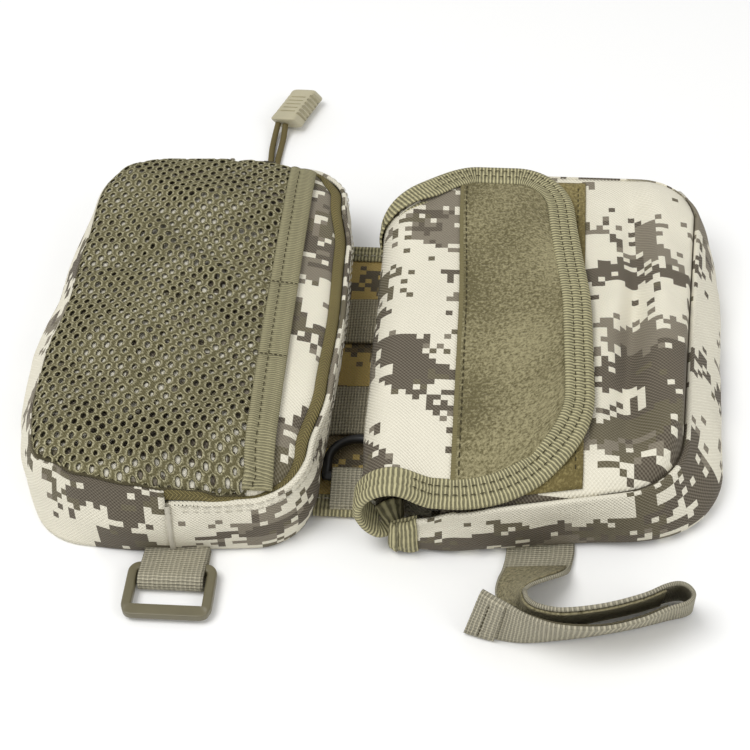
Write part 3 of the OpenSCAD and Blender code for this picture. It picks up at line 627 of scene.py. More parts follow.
# Keys along each wall: the share of its run, how far its top leans out, and its height
INNER_TOP = [
    (0, -1.2, 25.6), (0.07, -1, 25), (0.114, -0.8, 26), (0.16, 0, 28.2), (0.236, 1.4, 32),
    (0.35, 6, 33), (0.5, 7.4, 33), (0.65, 6.6, 33.2), (0.764, 2.4, 34), (0.83, 1.0, 33.6),
    (0.886, 0.4, 33.4), (0.93, 1.2, 34.4), (0.965, 1.6, 35.6), (1, 1.2, 35.4),
]
OUTER_TOP = [
    (0, 1.2, 35.4), (0.14, -0.6, 35.2), (0.25, -1.6, 34.6), (0.36, -3.8, 34), (0.5, -6.6, 33.6),
    (0.62, -5.2, 33.6), (0.71, -3.2, 34), (0.79, -3.4, 34.4), (0.84, -6, 34.8), (0.89, -2.2, 36.4),
    (0.96, -1.4, 34), (1, -1.6, 31),
]

# Keys along each wall: the share of its run, and how far it swells at half height
INNER_BULGE = [(0, 2.2), (0.76, 2.2), (0.84, 0.2), (0.97, 0.2), (1, 2.0)]
OUTER_BULGE = [
    (0, 3.6), (0.22, 3.8), (0.36, 7.2), (0.5, 8.6), (0.62, 6.8), (0.71, 3.9), (0.8, 1.2), (0.87, 0.8),
    (0.94, 2.6), (1, 3.6),
]


def wall_top(path, keys, share):
    out, high = keyed(keys, share)
    foot, way = path.at(share), path.outward(share)
    return Vector((foot.x + way.x * out, foot.y + way.y * out, high)), way


def zip_wall(name, path, keys, bulge, seed, cut):
    turn_from, edge_r, foot_high = 0.88, 1.1, 0.7

    def place(u, v):
        top, way = wall_top(path, keys, u)
        foot = path.at(u).to_3d()
        if v > turn_from:
            angle = (v - turn_from) / (1 - turn_from) * math.pi * 0.9
            return top + way * (edge_r * math.cos(angle) - edge_r) + UP * edge_r * math.sin(angle)
        q = v / turn_from
        spot = foot.lerp(top, q)
        spot.z = mixed(foot_high, top.z, q)
        soft = math.sin(math.pi * q)
        along = u * path.length
        ripple = crumple(along, q * 30, 26, seed) * 1.5 + crumple(along, q * 34, 11, seed) * 0.5
        return spot + way * (keyed(bulge, u)[0] * math.sin(math.pi * q ** 0.85) + ripple * soft)

    piece = cloth(name, (int(path.length / 2.2), 22), place, lambda u, v: (u * path.length, v * 38), cut=cut)
    return thickened(piece, WALL_THICK)


def wall_line(path, keys, down, out):
    line = []
    for i in range(201):
        top, way = wall_top(path, keys, mixed(0.02, 0.98, i / 200))
        line.append((top + way * out - UP * down, way))
    return line


inner_wall = zip_wall("zip_inner_wall", INNER, INNER_TOP, INNER_BULGE, 3, INNER_CUT)
dressed(inner_wall, CAMO, "printed_cloth", "zip_pouch", "zip_inner_gusset")
outer_wall = zip_wall("zip_outer_wall", OUTER, OUTER_TOP, OUTER_BULGE, 9, OUTER_CUT)
dressed(outer_wall, CAMO, "printed_cloth", "zip_pouch", "zip_outer_gusset")
for name, down, out in (("high", 0.3, 0.25), ("low", 2.6, 0.6)):
    line = wall_line(INNER, INNER_TOP, down, out)
    sewn("zip_edge_stitch_" + name, line, 0.1, PALE_THREAD, "piping", "zip_pouch", 3.2, 0.7, 0.22)


# The front face grows inwards from a boundary to a middle line at full height.
CROWN = [(-46, 41.0), (0, 41.5), (46, 43.0)]
MIDDLE_X, MIDDLE_Y = -71, 46

# Keys along the zip: the share of its run, the lid's inset from the wall's top, and its rise
LID_GAP = [
    (0, 2.4, 5.8), (0.014, 2.6, 5.2), (0.045, 2.6, 4.7), (0.075, 2.4, 2.1), (0.12, 2.8, 0.4),
    (0.17, 4.2, -0.3), (0.26, 6.4, 0.3), (0.8, 6.4, 0.3), (0.87, 2.8, 0.5), (0.92, 2.4, 1.2),
    (0.96, 2.0, 0.8), (1, 1.6, -1.1),
]


# The way from the wall's top to the lid's edge
def lid_gap(share, way):
    inset, rise = keyed(LID_GAP, share)
    return UP * rise - way * inset


def front_rim(half, share):
    if half == "inner":
        top, way = wall_top(INNER, INNER_TOP, share)
        return top + lid_gap(share, way)
    top, way = wall_top(OUTER, OUTER_TOP, share)
    return top - way * 1.6 + UP * 0.8


def front_spot(u, w):
    if u < 0.5:
        share = u * 2
        rim = front_rim("inner", share)
        middle_y = -MIDDLE_Y * math.cos(math.pi * share)
    else:
        share = (u - 0.5) * 2
        rim = front_rim("outer", share)
        middle_y = MIDDLE_Y * math.cos(math.pi * share)
    spot = rim.lerp(Vector((MIDDLE_X, middle_y, 0)), w)
    tuck = 2.2 * (1 - math.exp(-w * 45 / 1.2))
    rise = 1 - (1 - w) ** mixed(4.6, 2.2, eased((rim.y + 84) / 50))
    on_net = eased((-34 - spot.x) / 8)
    sag = crumple(spot.x, spot.y, 34, 4) * (1.0 + 2.2 * on_net) + crumple(spot.x, spot.y, 15, 5) * on_net
    spot.z = mixed(rim.z + tuck, keyed(CROWN, middle_y)[0], rise) + sag * min(1, w * 3)
    return spot


# The front with its rows of points closer together near the rim
def front_row(u, w):
    return front_spot(u, w ** 1.7)


zip_front = cloth("zip_front", (160, 28), front_row, lambda u, w: front_row(u, w).xy,
                  closed=True, cut=LID_CUT)
thickened(zip_front, FRONT_THICK)
FRONT_TREE = surface(zip_front)
dressed(zip_front, VEILED_CAMO, "printed_cloth", None, "zip_front_panel", "zip_lid_panel")
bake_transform(zip_front)


# Net: staggered oval gaps in a knitted sheet that follows the front.
NET_PITCH, NET_ROW = 5.0, 3.3
NET_FROM, NET_LONG, NET_ACROSS = (-128, -113), 230, 24

# Rings of each mesh, border to gap: share of its size, rise in mm, and how far it stands out, which sets its
# painted light
NET_RINGS = ((1.0, 0.15, 0.4), (0.68, 0.2, 1.0), (0.54, -0.1, 0.0))
NET_ROUND, NET_TALL = 2.0, 1.36
NET_SKEW = 0.13
NET_LIFT = 0.7
NET_EDGE_X = -31.0
RIM_STEPS = 240
RIM = [front_rim(half, i / RIM_STEPS).xy for half in ("inner", "outer") for i in range(RIM_STEPS + 1)]


def inside_rim(x, y):
    inside = False
    for a, b in zip(RIM, RIM[1:] + RIM[:1]):
        if (a.y > y) != (b.y > y) and x < a.x + (y - a.y) / (b.y - a.y) * (b.x - a.x):
            inside = not inside
    return inside


# A point outside the front's boundary is drawn back onto it
def held_in(x, y):
    if inside_rim(x, y):
        return x, y
    nearest = min(RIM, key=lambda p: (p.x - x) ** 2 + (p.y - y) ** 2)
    return nearest.x, nearest.y


# The net lies down along its sewn edges and its mouth
def net_slack(x, y):
    return eased((NET_EDGE_X - x) / 12) * eased((x + 125) / 14) * eased((90 - abs(y)) / 14)


# The knit runs a little askew and wavers
def hung(x, y):
    waver = crumple(x, y, 40, 12)
    return x + 2.0 * crumple(x, y, 30, 14), y - NET_SKEW * (x + 80) + 3.0 * waver


def net_piece():
    points, faces, spots, ridges = [], [], [], []
    known = {}

    def corner(key, x, y, rise, ridge):
        if key not in known:
            known[key] = len(points)
            high = fallen(FRONT_TREE, x, y, 30)
            puff = 3.4 * max(0, crumple(x + y * 0.3, y, 17, 17))
            puff += 1.6 * math.exp(-((x + 88) / 26) ** 2 - ((y + 70) / 11) ** 2)
            points.append(Vector((x, y, high + NET_LIFT + puff * net_slack(x, y) + rise)) * MM)
            spots.append((x * MM, y * MM))
            ridges.append(ridge)
        return known[key]

    spokes = [(0, 2 * NET_ROW / 3), (-NET_PITCH / 2, NET_ROW / 3), (-NET_PITCH / 2, -NET_ROW / 3),
              (0, -2 * NET_ROW / 3), (NET_PITCH / 2, -NET_ROW / 3), (NET_PITCH / 2, NET_ROW / 3)]
    halves = [((a[0] + b[0]) / 2, (a[1] + b[1]) / 2) for a, b in zip(spokes, spokes[1:] + spokes[:1])]
    spokes = [spoke for pair in zip(spokes, halves) for spoke in pair]
    count = len(spokes)
    for j in range(int(NET_LONG / NET_ROW)):
        for i in range(NET_ACROSS):
            base = Vector((NET_FROM[0] + NET_PITCH * (i + (j % 2) * 0.5), NET_FROM[1] + NET_ROW * j))
            marks = [(round(base.x + a, 2), round(base.y + b, 2)) for a, b in spokes]
            outer = [hung(*mark) for mark in marks]
            centre = Vector(hung(*base))
            within = [inside_rim(*p) for p in outer]
            if not any(within) or max(p[0] for p in outer) > NET_EDGE_X:
                continue
            held = [Vector(held_in(*p)) for p in outer]
            if not all(within):
                centre = sum(held, Vector((0, 0))) / count
            slack = 1 + 0.3 * crumple(i * 2.0, j * 2.0, 5, 8)
            drift = Vector((0.4 * crumple(j * 3.0, i * 3.0, 7, 2), 0))
            rings = []
            for share, rise, ridge in NET_RINGS:
                ring = []
                for mark, spot in zip(marks, held):
                    if share == 1:
                        ring.append(corner(mark, *spot, rise, ridge))
                        continue
                    way = (spot - centre).normalized()
                    wide = share * slack * NET_ROUND / math.hypot(way.x, way.y / NET_TALL)
                    spot = centre + drift + way * min(wide, (spot - centre).length * 0.9)
                    ring.append(corner((mark, i, j, share), *spot, rise, ridge))
                rings.append(ring)
            for wide, tight in zip(rings, rings[1:]):
                for k in range(count):
                    n = (k + 1) % count
                    faces.append((wide[k], wide[n], tight[n], tight[k]))
    piece = meshed("net", points, faces, spots)
    height = piece.data.attributes.new(name="ridge", type="FLOAT", domain="POINT")
    for index, ridge in enumerate(ridges):
        height.data[index].value = ridge
    return thickened(piece, NET_THICK, 0, even_wall=False)


net = dressed(net_piece(), NET_YARN, "net", None, "net_outer", "net_mouth")
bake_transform(net)


# The net's sewn border, a narrow roll in the seam all round that ends at the mouth binding.
BORDER_NEAR, BORDER_FAR = 0.11, 0.9


def border_mark(u):
    mark = u * (2 - BORDER_FAR + BORDER_NEAR)
    if mark < 1 - BORDER_FAR:
        return "inner", BORDER_FAR + mark
    if mark < 2 - BORDER_FAR:
        return "outer", mark - 1 + BORDER_FAR
    return "inner", mark - 2 + BORDER_FAR


def border_spot(u, w):
    rim = front_rim(*border_mark(u))
    inward = (Vector((MIDDLE_X, rim.y * 0.55, rim.z)) - rim).normalized()
    angle = TURN * w
    return rim + inward * (0.4 + 0.9 * math.cos(angle)) + UP * (0.7 - 0.8 * math.sin(angle))


border_length = OUTER.length + INNER.length * (1 - BORDER_FAR + BORDER_NEAR)
net_border = cloth("net_border", (220, 8), border_spot, lambda u, w: (u * border_length, w * 6), closed=True)
# The border's dark tone is partly its own colour and partly painted shade for the crease by the wall.
dressed(net_border, NET_SEAM_AND_SHADE, "net", None, "net_edge_outer", "net_edge_mouth")
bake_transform(net_border)


# Binding over the pocket's mouth, with its sewn row and bar tacks.
MOUTH_RIGHT, MOUTH_WIDE = -27.8, 10.4


def mouth_edge(share, in_from_edge, lift):
    y = mixed(-86.5, 80.5, share)
    x = MOUTH_RIGHT - 2.2 * share * (1 - share) * 0.6 - in_from_edge
    high = fallen(FRONT_TREE, x, max(y, -84.5), 30)
    return Vector((x, y, high + NET_LIFT + 1.0 + lift - 1.4 * max(0, -80 - y) / 6))


mouth_line = []
for i in range(121):
    spot = mouth_edge(i / 120, 0, 0.5)
    across = (mouth_edge(i / 120, 5, 0.3) - spot).normalized()
    along = (mouth_edge(i / 120 + 0.01, 0, 0) - mouth_edge(i / 120 - 0.01, 0, 0)).normalized()
    mouth_line.append((spot, along.cross(across).normalized(), across))
MOUTH_ROW = 0.62
net_mouth_tape = edge_tape("net_mouth_tape", mouth_line, MOUTH_WIDE, 0.75, rows=(MOUTH_ROW,), puff=0.35)
dressed(net_mouth_tape, MOUTH_BINDING, "binding", "zip_lid", "net_binding")
row = [(p + a * MOUTH_WIDE * MOUTH_ROW, n) for p, n, a in mouth_line]
sewn("net_mouth_stitch", row, 1.4, KHAKI_THREAD, "binding", "zip_lid", 2.2, 1.1, 0.2)
for index, share in enumerate((0.34, 0.57)):
    k = int(share * 120)
    p, n, a = mouth_line[k]
    tack = [(p + a * mixed(-0.5, 16, i / 12), n) for i in range(13)]
    sewn(f"net_mouth_tack_{index}", tack, 1.75, KHAKI_THREAD, "binding", "zip_lid", 1.3, 0.5, 0.24)


# Zip: a rounded upper tape on the lid, a lower tape and coil on the pouch.
def tape_spot(u, w, inner, outer, low, high, crown=0.0):
    share = mixed(0.0, 0.988, u)
    top, way = wall_top(INNER, INNER_TOP, share)
    gap = lid_gap(share, way)
    face = (UP + way * gap.z / gap.length).normalized()
    lift = mixed(high, low, w) + crown * math.sin(math.pi * w)
    return top + gap * mixed(inner, outer, w) + face * (lift * gap.length / 6.4)


upper_tape = cloth("zip_tape_upper_cloth", (220, 12),
                   lambda u, w: tape_spot(u, 1 - w, 1.06, 0.36, -0.4, 0.9, 1.0),
                   lambda u, w: (u * INNER.length, w * 5.2))
dressed(thickened(upper_tape, 0.7), ZIP_TAPE, "zip_tape", "zip_lid", "zip_tape_upper")
lower_tape = cloth("zip_tape_lower_cloth", (200, 4), lambda u, w: tape_spot(u, 1 - w, 0.33, 0.1, -2.4, -2.0),
                   lambda u, w: (u * INNER.length, w * 3))
dressed(thickened(lower_tape, 0.6), ZIP_TAPE, "zip_tape", "zip_pouch", "zip_tape_lower")


def coil_spot(u, w):
    share = mixed(0.012, 0.988, u)
    top, way = wall_top(INNER, INNER_TOP, share)
    fat = 0.6 + 0.22 * math.sin(TURN * u * 190)
    angle = TURN * w
    spot = top + lid_gap(share, way) * 0.27 - UP * 1.5
    return spot + (way * math.cos(angle) + UP * math.sin(angle)) * fat


coil = cloth("zip_coil", (1140, 8), coil_spot, lambda u, w: (u * INNER.length, w * 5), closed=True)
dressed(coil, ZIP_COIL, "zip_tape", "zip_pouch")


# Seam cords on the gusset at the lid's fold.
def seam_cord(name, share, node):
    def place(u, w):
        top, way = wall_top(INNER, INNER_TOP, share)
        foot = INNER.at(share).to_3d()
        spot = foot.lerp(top, u)
        spot.z = mixed(1.2, top.z + 1.0, u)
        out = 2.4 * math.sin(math.pi * u ** 0.85) + 0.7
        angle = TURN * w
        return spot + way * (out + 0.8 * math.sin(angle)) + Vector((1.1 * math.cos(angle) - 0.4, 0, 0))
    piece = cloth(name, (18, 10), place, lambda u, w: (u * 30, w * 6), closed=True)
    return dressed(piece, PALE_THREAD, "piping", "zip_pouch", node)


seam_cord("zip_seam_cord_near", 0.004, "zip_piping_near")
seam_cord("zip_seam_cord_far", 0.996, "zip_piping_far")


# Backs: padded panels with softened edges.
BACK_BASE, BACK_SEAM, BACK_HIGH, BACK_EDGE = 0.05, 0.9, 2.0, 3


def padded_back(name, outline, node, body):
    loop = Path(outline)
    centre = sum((p.to_3d() for p in loop.points), Vector()) / len(loop.points)

    def place(u, w):
        spot = loop.at(u).to_3d()
        way = centre - spot
        spot = spot + way * w
        edge = min(1, w * way.length / BACK_EDGE)
        spot.z = mixed(BACK_SEAM, BACK_HIGH, math.sqrt(1 - (1 - edge) ** 2))
        return spot

    def under(u, w):
        spot = place(u, 1 - w)
        spot.z = mixed(BACK_SEAM, BACK_BASE, min(1, (1 - w) * 30))
        return spot

    top = cloth(name, (140, 14), place, lambda u, w: place(u, w).xy, closed=True)
    base = cloth(name + "_base", (140, 14), under, lambda u, w: under(u, w).xy, closed=True)
    taken(top)
    base.select_set(True)
    bpy.ops.object.join()
    welded(top)
    return dressed(top, CAMO, "printed_cloth", body, node)


zip_loop = INNER.points + OUTER.points[1:]
padded_back("zip_back_cloth", zip_loop, "zip_back_panel", "zip_pouch")
FLAP_X0, FLAP_X1 = 15.8, 141.6
back_loop = rounded([(FLAP_X0, -83.5, 0), (38, -85, 60), (132.4, -72.4, 31), (FLAP_X1 - 2, 81, 22),
                     (FLAP_X0, 85.5, 0)])
back_loop.append(Vector((FLAP_X0, -83.5)))
padded_back("flap_back_cloth", back_loop, "flap_back_panel", "flap_pouch")


# Flap pouch: gusset wall, front panel with soft folds, and its seam.
MOUTH_X = 15.6
FLOOR_LINE = Path(rounded([(MOUTH_X, -85.5, 0), (36, -87, 60), (134.4, -74.4, 31), (FLAP_X1 + 0.4, 83, 24),
                           (MOUTH_X, 87, 0)]))
SEAM_LINE = Path(rounded([(MOUTH_X, -86.5, 0), (46, -87, 60), (119, -73.5, 27), (134.8, 89.2, 22),
                          (MOUTH_X, 91.2, 0)]))
FRONT_X = 32.8
CREASE = 1.3

# Keys along the wall: the share of its run, with the seam's height and the wall's swell
SEAM_HIGH = [(0, 14.5), (0.03, 19), (0.06, 23.5), (0.1, 26), (0.2, 26.5), (0.3, 27.5), (0.45, 29.5),
             (0.62, 31.5), (0.72, 33.2), (0.9, 32.4), (0.96, 28), (1, 20)]
WALL_BELLY = [(0, 3.0), (0.17, 3.0), (0.24, 4.8), (0.33, 5.6), (0.5, 5.8), (0.75, 4.2), (1, 2.8)]

# Keys across the front panel: X, with its height in the middle
PANEL_HIGH = [(FRONT_X, 30.8), (84, 31.2), (92, 32.4), (104, 34), (116, 38), (136, 33)]


def seam_height(share):
    return keyed(SEAM_HIGH, share)[0]


def flap_wall(u, v):
    foot, seam, way = FLOOR_LINE.at(u).to_3d(), SEAM_LINE.at(u).to_3d(), FLOOR_LINE.outward(u)
    lean = SEAM_LINE.outward(u)
    crease = CREASE * eased((0.7 - u) / 0.06)
    turn_from = 0.86
    q = min(1, v / turn_from)
    spot = foot.lerp(seam + lean * 2 * crease, q ** 1.1)
    spot.z = mixed(0.3, seam_height(u), q)
    along = u * FLOOR_LINE.length
    fold = crumple(along, v * 40, 34, 21) * 2.4 + crumple(along, v * 46, 13, 22) * 0.7
    belly = keyed(WALL_BELLY, u)[0]
    spot += way * (belly * math.sin(math.pi * q ** 0.62) + fold * math.sin(math.pi * q))
    if v > turn_from:
        angle = (v - turn_from) / (1 - turn_from) * math.pi
        rise = 1.1 * math.sin(angle) - 0.35 * angle
        spot += lean * (crease * math.cos(angle) - crease) + UP * crease * rise
    return spot


gusset = cloth("flap_gusset_cloth", (170, 24), flap_wall,
               lambda u, v: (u * FLOOR_LINE.length, v * 36), cut=GUSSET_CUT)
dressed(thickened(gusset, WALL_THICK), CAMO, "printed_cloth", "flap_pouch", "flap_gusset")


# The share of the seam line at each side where it reaches x, its farthest point in X being the turn
SEAM_TURN = max(range(401), key=lambda i: SEAM_LINE.at(i / 400).x) / 400


def seam_share(x, side):
    low, high = (0, SEAM_TURN) if side < 0 else (SEAM_TURN, 1)
    for _ in range(40):
        middle = (low + high) / 2
        if (SEAM_LINE.at(middle).x < x) == (side < 0):
            low = middle
        else:
            high = middle
    return low


def front_face(u, w):
    x = mixed(FRONT_X, SEAM_LINE.at(SEAM_TURN).x - 0.05, math.sin(u * math.pi / 2))
    near, far = (SEAM_LINE.at(seam_share(x, side)) for side in (-1, 1))
    y = mixed(near.y, far.y, w)
    low, high = seam_height(seam_share(x, -1)), seam_height(seam_share(x, 1))
    rim = mixed(low, high, w)
    from_near = (y - near.y) * keyed([(0, 1), (112, 1), (124, 0.8), (136, 0.75)], x)[0]
    from_side = min(from_near, far.y - y)
    puff = 1 - (1 - min(1, from_side / 17)) ** 2.4
    bulge = keyed(PANEL_HIGH, x)[0]
    fold = crumple(x, y * 0.6, 20, 31) * 2.6 + crumple(x, y, 9, 33) * 0.8
    valley = -7.0 * math.exp(-((x - 104 - 3 * math.sin(y / 26)) / 5) ** 2) * math.exp(-((y + 5) / 55) ** 2)
    loose = eased((x - 86) / 10)
    return Vector((x, y, mixed(rim - 0.9, bulge + (fold + valley) * loose, puff)))


front = cloth("flap_front_cloth", (90, 110), front_face, lambda u, w: front_face(u, w).xy, cut=PANEL_CUT)
thickened(front, FRONT_THICK)
POUCH_TREE = surface(front)
dressed(front, CAMO, "printed_cloth", "flap_pouch", "flap_front_panel")


# Painted shade along the crease between wall and front, drawn as a thin dark cord.
def seam_shade_cord(u, w):
    share = mixed(0.2, 0.68, u)
    angle = TURN * w
    thin = 0.06 + 0.34 * min(1, 4 * math.sin(math.pi * u)) * (0.75 + 0.25 * crumple(u * 300, 0, 6, 41))
    spot = SEAM_LINE.at(share).to_3d() + UP * (seam_height(share) - 0.35)
    return spot + (SEAM_LINE.outward(share) * math.cos(angle) + UP * math.sin(angle)) * thin


# The dark cord is painted shade for the crease, not a sewn thread.
thread = cloth("flap_seam_shade_cord", (300, 8), seam_shade_cord,
               lambda u, w: (u * SEAM_LINE.length, w * 4), closed=True)
dressed(thread, SEAM_SHADE_CORD, "binding", "flap_pouch")


# Mouth bindings: two gusset ends and the front panel's edge.
def gusset_end(side):
    line = []
    for i in range(25):
        v = mixed(0.06, 0.97, i / 24)
        u = 0.0 if side < 0 else 1.0
        spot = flap_wall(u, v)
        inner = flap_wall(0.02 if side < 0 else 0.98, v)
        inward = (inner - spot).normalized()
        line.append((spot - Vector((0, side * 0.8, 0)), Vector((0, side, 0)), inward))
    return line


for side, end in ((-1, "near"), (1, "far")):
    tape = edge_tape("mouth_binding_" + end, gusset_end(side), 9.5, 1.1,
                     rows=(0.25,), puff=0.9, upright=True)
    dressed(tape, BINDING, "binding", "flap_pouch")
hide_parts("mouth_binding_sides")
front_edge = []
for i in range(81):
    spot = front_face(0, mixed(0.03, 0.97, i / 80))
    front_edge.append((spot - UP * 0.75, UP.copy(), Vector((1, 0, 0))))
mouth_front = edge_tape("mouth_binding_front_edge", front_edge, 9, 1.0)
dressed(mouth_front, BINDING, "binding", "flap_pouch", "mouth_binding_front")


# Closure strip of loop pile on the front panel.
def strip_spot(u, w):
    x = mixed(mixed(87.5, 83.5, w), 43, u)
    y = mixed(86.5, SEAM_LINE.at(seam_share(x, -1)).y + 2.2, w)
    return Vector((x, y, fallen(POUCH_TREE, x, y, 30) + 1.0 + crumple(x, y, 1.6, 40) * 0.12))


strip = cloth("closure_strip", (40, 120), strip_spot, lambda u, w: (u * 41.8, w * 166))
dressed(thickened(strip, 1.0, even_wall=False), STRIP_PILE, "loop_pile", "flap_pouch", "front_loop_strip")
row = [(strip_spot(0.07, i / 100), UP) for i in range(2, 99)]
sewn("closure_strip_stitch", row, 0.1, KHAKI_THREAD, "loop_pile", "flap_pouch", 2.2, 1.2, 0.2)


# Flap cover: cloth from the back seam round the roll and over the pouch, parted at the roll's left side.
ROLL_X, ROLL_Z, ROLL_R = 16.0, 23.2, 12.2
FOOT_R = 3.2
FLAP_END = 87.6
TURN_END = math.radians(264)
roll_end = Vector((ROLL_X + ROLL_R * math.cos(TURN_END), ROLL_Z + ROLL_R * math.sin(TURN_END)))
foot_centre = roll_end + FOOT_R * Vector((math.cos(TURN_END), math.sin(TURN_END)))
profile = [Vector((foot_centre.x + FOOT_R, 1.8)), Vector((foot_centre.x + FOOT_R, 5))]
profile += [foot_centre + FOOT_R * Vector((math.cos(a), math.sin(a)))
            for a in (math.radians(84 * i / 8) for i in range(9))]
profile += [Vector((ROLL_X + ROLL_R * math.cos(a), ROLL_Z + ROLL_R * math.sin(a)))
            for a in (mixed(TURN_END, math.pi / 2, i / 30) for i in range(1, 31))]
TOP_AT = len(profile) - 1
profile += [Vector((x, 35.4 - 1.5 * ((x - ROLL_X) / 72) ** 2)) for x in range(19, 88, 3)]
profile.append(Vector((FLAP_END, 33.8)))
PROFILE = Path(profile)
FLAP_FROM = PROFILE.marks[TOP_AT] / PROFILE.length
SPINE_TO = PROFILE.marks[TOP_AT - 13] / PROFILE.length


# The cover's near and far edges in Y, with its end's two corners drawn as arcs
NEAR_EDGE, FAR_EDGE = -89.8, 90.0
NEAR_CORNER, FAR_CORNER = 52, 26


def cover_sides(t):
    left = (1 - t) * PROFILE.length
    near, far = NEAR_EDGE, FAR_EDGE
    if left < NEAR_CORNER:
        near += NEAR_CORNER - math.sqrt(max(0, NEAR_CORNER ** 2 - (NEAR_CORNER - left) ** 2))
    if left < FAR_CORNER:
        far -= FAR_CORNER - math.sqrt(max(0, FAR_CORNER ** 2 - (FAR_CORNER - left) ** 2))
    far -= 29 * eased((left - 44) / 56)
    near += 7 * eased((left - 104) / 12)
    return near, far


def cover(t, w):
    near, far = cover_sides(t)
    y = mixed(near, far, w)
    if t > FLAP_FROM:
        t = FLAP_FROM + (t - FLAP_FROM) * (1 - 0.085 * eased(y / 75))
    spot = PROFILE.at(t)
    way = PROFILE.heading(t, 0.006)
    out = Vector((-way.y, 0, way.x))
    laid = eased((t - FLAP_FROM) / 0.12)
    pillow = 0.9 * laid * math.sin(math.pi * min(1, max(0, w)))
    soft = crumple(t * PROFILE.length, y, 28, 51) * 1.1 + crumple(t * PROFILE.length, y, 12, 52) * 0.35
    soft *= 1 - 0.6 * laid
    droop = -6.0 * eased((-56 - y) / 34) * laid * eased((1 - t) * PROFILE.length / 20)
    return Vector((spot.x, y, spot.y + droop + pillow)) + out * soft


def cover_weave(t, w):
    near, far = cover_sides(t)
    return t * PROFILE.length + 190, mixed(near, far, w)


def spaced(u):
    return 1 - (1 - u) ** 1.35


def cover_piece(name, steps, run):
    piece = cloth(name, (steps, 100), lambda u, w: cover(run(u), w),
                  lambda u, w: cover_weave(run(u), w), cut=COVER_CUT)
    return thickened(piece, COVER_THICK, 0, material_offset=1, material_offset_rim=0)


def on_spine(u):
    return SPINE_TO * u


def on_flap(u):
    return mixed(SPINE_TO, 1, spaced(u))


spine = cover_piece("flap_spine_cloth", 40, on_spine)
dressed(spine, CAMO, "printed_cloth", "flap_pouch", "flap_spine", lining=LINING)
flap_cover = cover_piece("flap_cover", 90, on_flap)
dressed(flap_cover, CAMO, "printed_cloth", None, "flap_panel", "flap_lining", lining=LINING)
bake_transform(flap_cover)


def cover_normal(t, w):
    step = 0.004
    along = cover(min(1, t + step), w) - cover(max(0, t - step), w)
    across = cover(t, min(1, w + step)) - cover(t, max(0, w - step))
    return along.cross(across).normalized()


def cover_rim(marks):
    spots = [cover(t, w) for t, w in marks]
    line = []
    for k, (t, w) in enumerate(marks):
        way = (spots[min(k + 1, len(spots) - 1)] - spots[max(k - 1, 0)]).normalized()
        up = cover_normal(min(t, 0.985), min(max(w, 0.02), 0.98))
        line.append((spots[k], up, up.cross(way).normalized()))
    return even(line, 1.3)


FLAP_TAPE_WIDE, FLAP_TAPE_ROWS = 11, (0.33, 0.66)


def cover_tape(name, line):
    return edge_tape(name, line, FLAP_TAPE_WIDE, 2.0, low=1.25, rows=FLAP_TAPE_ROWS)


marks = [(on_flap(i / 80), 0.0) for i in range(81)]
marks += [(1.0, i / 24) for i in range(1, 24)]
marks += [(on_flap(1 - i / 80), 1.0) for i in range(81)]
rim_line = cover_rim(marks)
flap_tape = cover_tape("flap_edge_tape", rim_line)
dressed(flap_tape, BINDING, "binding", None, "flap_binding")
for name, marks in (("near", [(on_spine(i / 40), 0.0) for i in range(41)]),
                    ("far", [(on_spine(1 - i / 40), 1.0) for i in range(41)])):
    tape = cover_tape("spine_tape_" + name, cover_rim(marks))
    dressed(tape, BINDING, "binding", "flap_pouch")
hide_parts("spine_binding")
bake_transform(flap_tape)
for index, share in enumerate(FLAP_TAPE_ROWS):
    row = [(p + i * FLAP_TAPE_WIDE * share, n) for p, n, i in rim_line]
    row = [(p, n) for p, n in row if p.x > 21 and p.z > 25]
    sewn(f"flap_edge_stitch_{index}", row, 2.65, KHAKI_THREAD, "binding", "flap", 2.0, 1.3, 0.2)


# Loop patch on the flap and hook patch under it.
def flap_share(x):
    low, high = FLAP_FROM, 1.0
    for _ in range(30):
        middle = (low + high) / 2
        if PROFILE.at(middle).x < x:
            low = middle
        else:
            high = middle
    return low


PATCH_X0, PATCH_X1 = 36.0, 82.5
PATCH_LIFT, PATCH_INSET = 1.75, 4.5


def patch_spot(u, w, lift, inset, fuzz=0.0):
    x = mixed(PATCH_X0, PATCH_X1, u)
    t = flap_share(x)
    near, far = cover_sides(min(1, t + 5 / PROFILE.length))
    y = mixed(near + inset, far - inset, w)
    share = (y - cover_sides(t)[0]) / (cover_sides(t)[1] - cover_sides(t)[0])
    return cover(t, share) + UP * (lift + fuzz * crumple(x, y, 0.9, 60))


patch = cloth("flap_patch", (70, 200), lambda u, w: patch_spot(u, w, PATCH_LIFT, PATCH_INSET, 0.3),
              lambda u, w: (u * (PATCH_X1 - PATCH_X0), w * 170))
dressed(thickened(patch, 1.0, even_wall=False), PATCH_PILE, "loop_pile", "flap", "flap_loop_patch")
patch_row = [(patch_spot(0.062, i / 100, PATCH_LIFT, PATCH_INSET), UP) for i in range(4, 97)]
sewn("flap_patch_stitch", patch_row, 0.2, KHAKI_THREAD, "loop_pile", "flap", 2.4, 1.0, 0.24)
hook_patch = cloth("flap_hook", (30, 80), lambda u, w: patch_spot(u * 0.7 + 0.15, 1 - w, -1.1, 12),
                   lambda u, w: (u * 31, w * 150))
dressed(thickened(hook_patch, 0.8), HOOK, "hook_tape", "flap", "flap_hook_patch")


# Bridge: printed panel with a dark lining, two webbing rows and hems.
BRIDGE_X, BRIDGE_Y = 15.4, 73.5


def bridge_spot(u, w):
    x, y = mixed(-BRIDGE_X, BRIDGE_X, u), mixed(-BRIDGE_Y, BRIDGE_Y, w)
    return Vector((x, y, 1.9 + crumple(x, y, 22, 70) * 0.35))


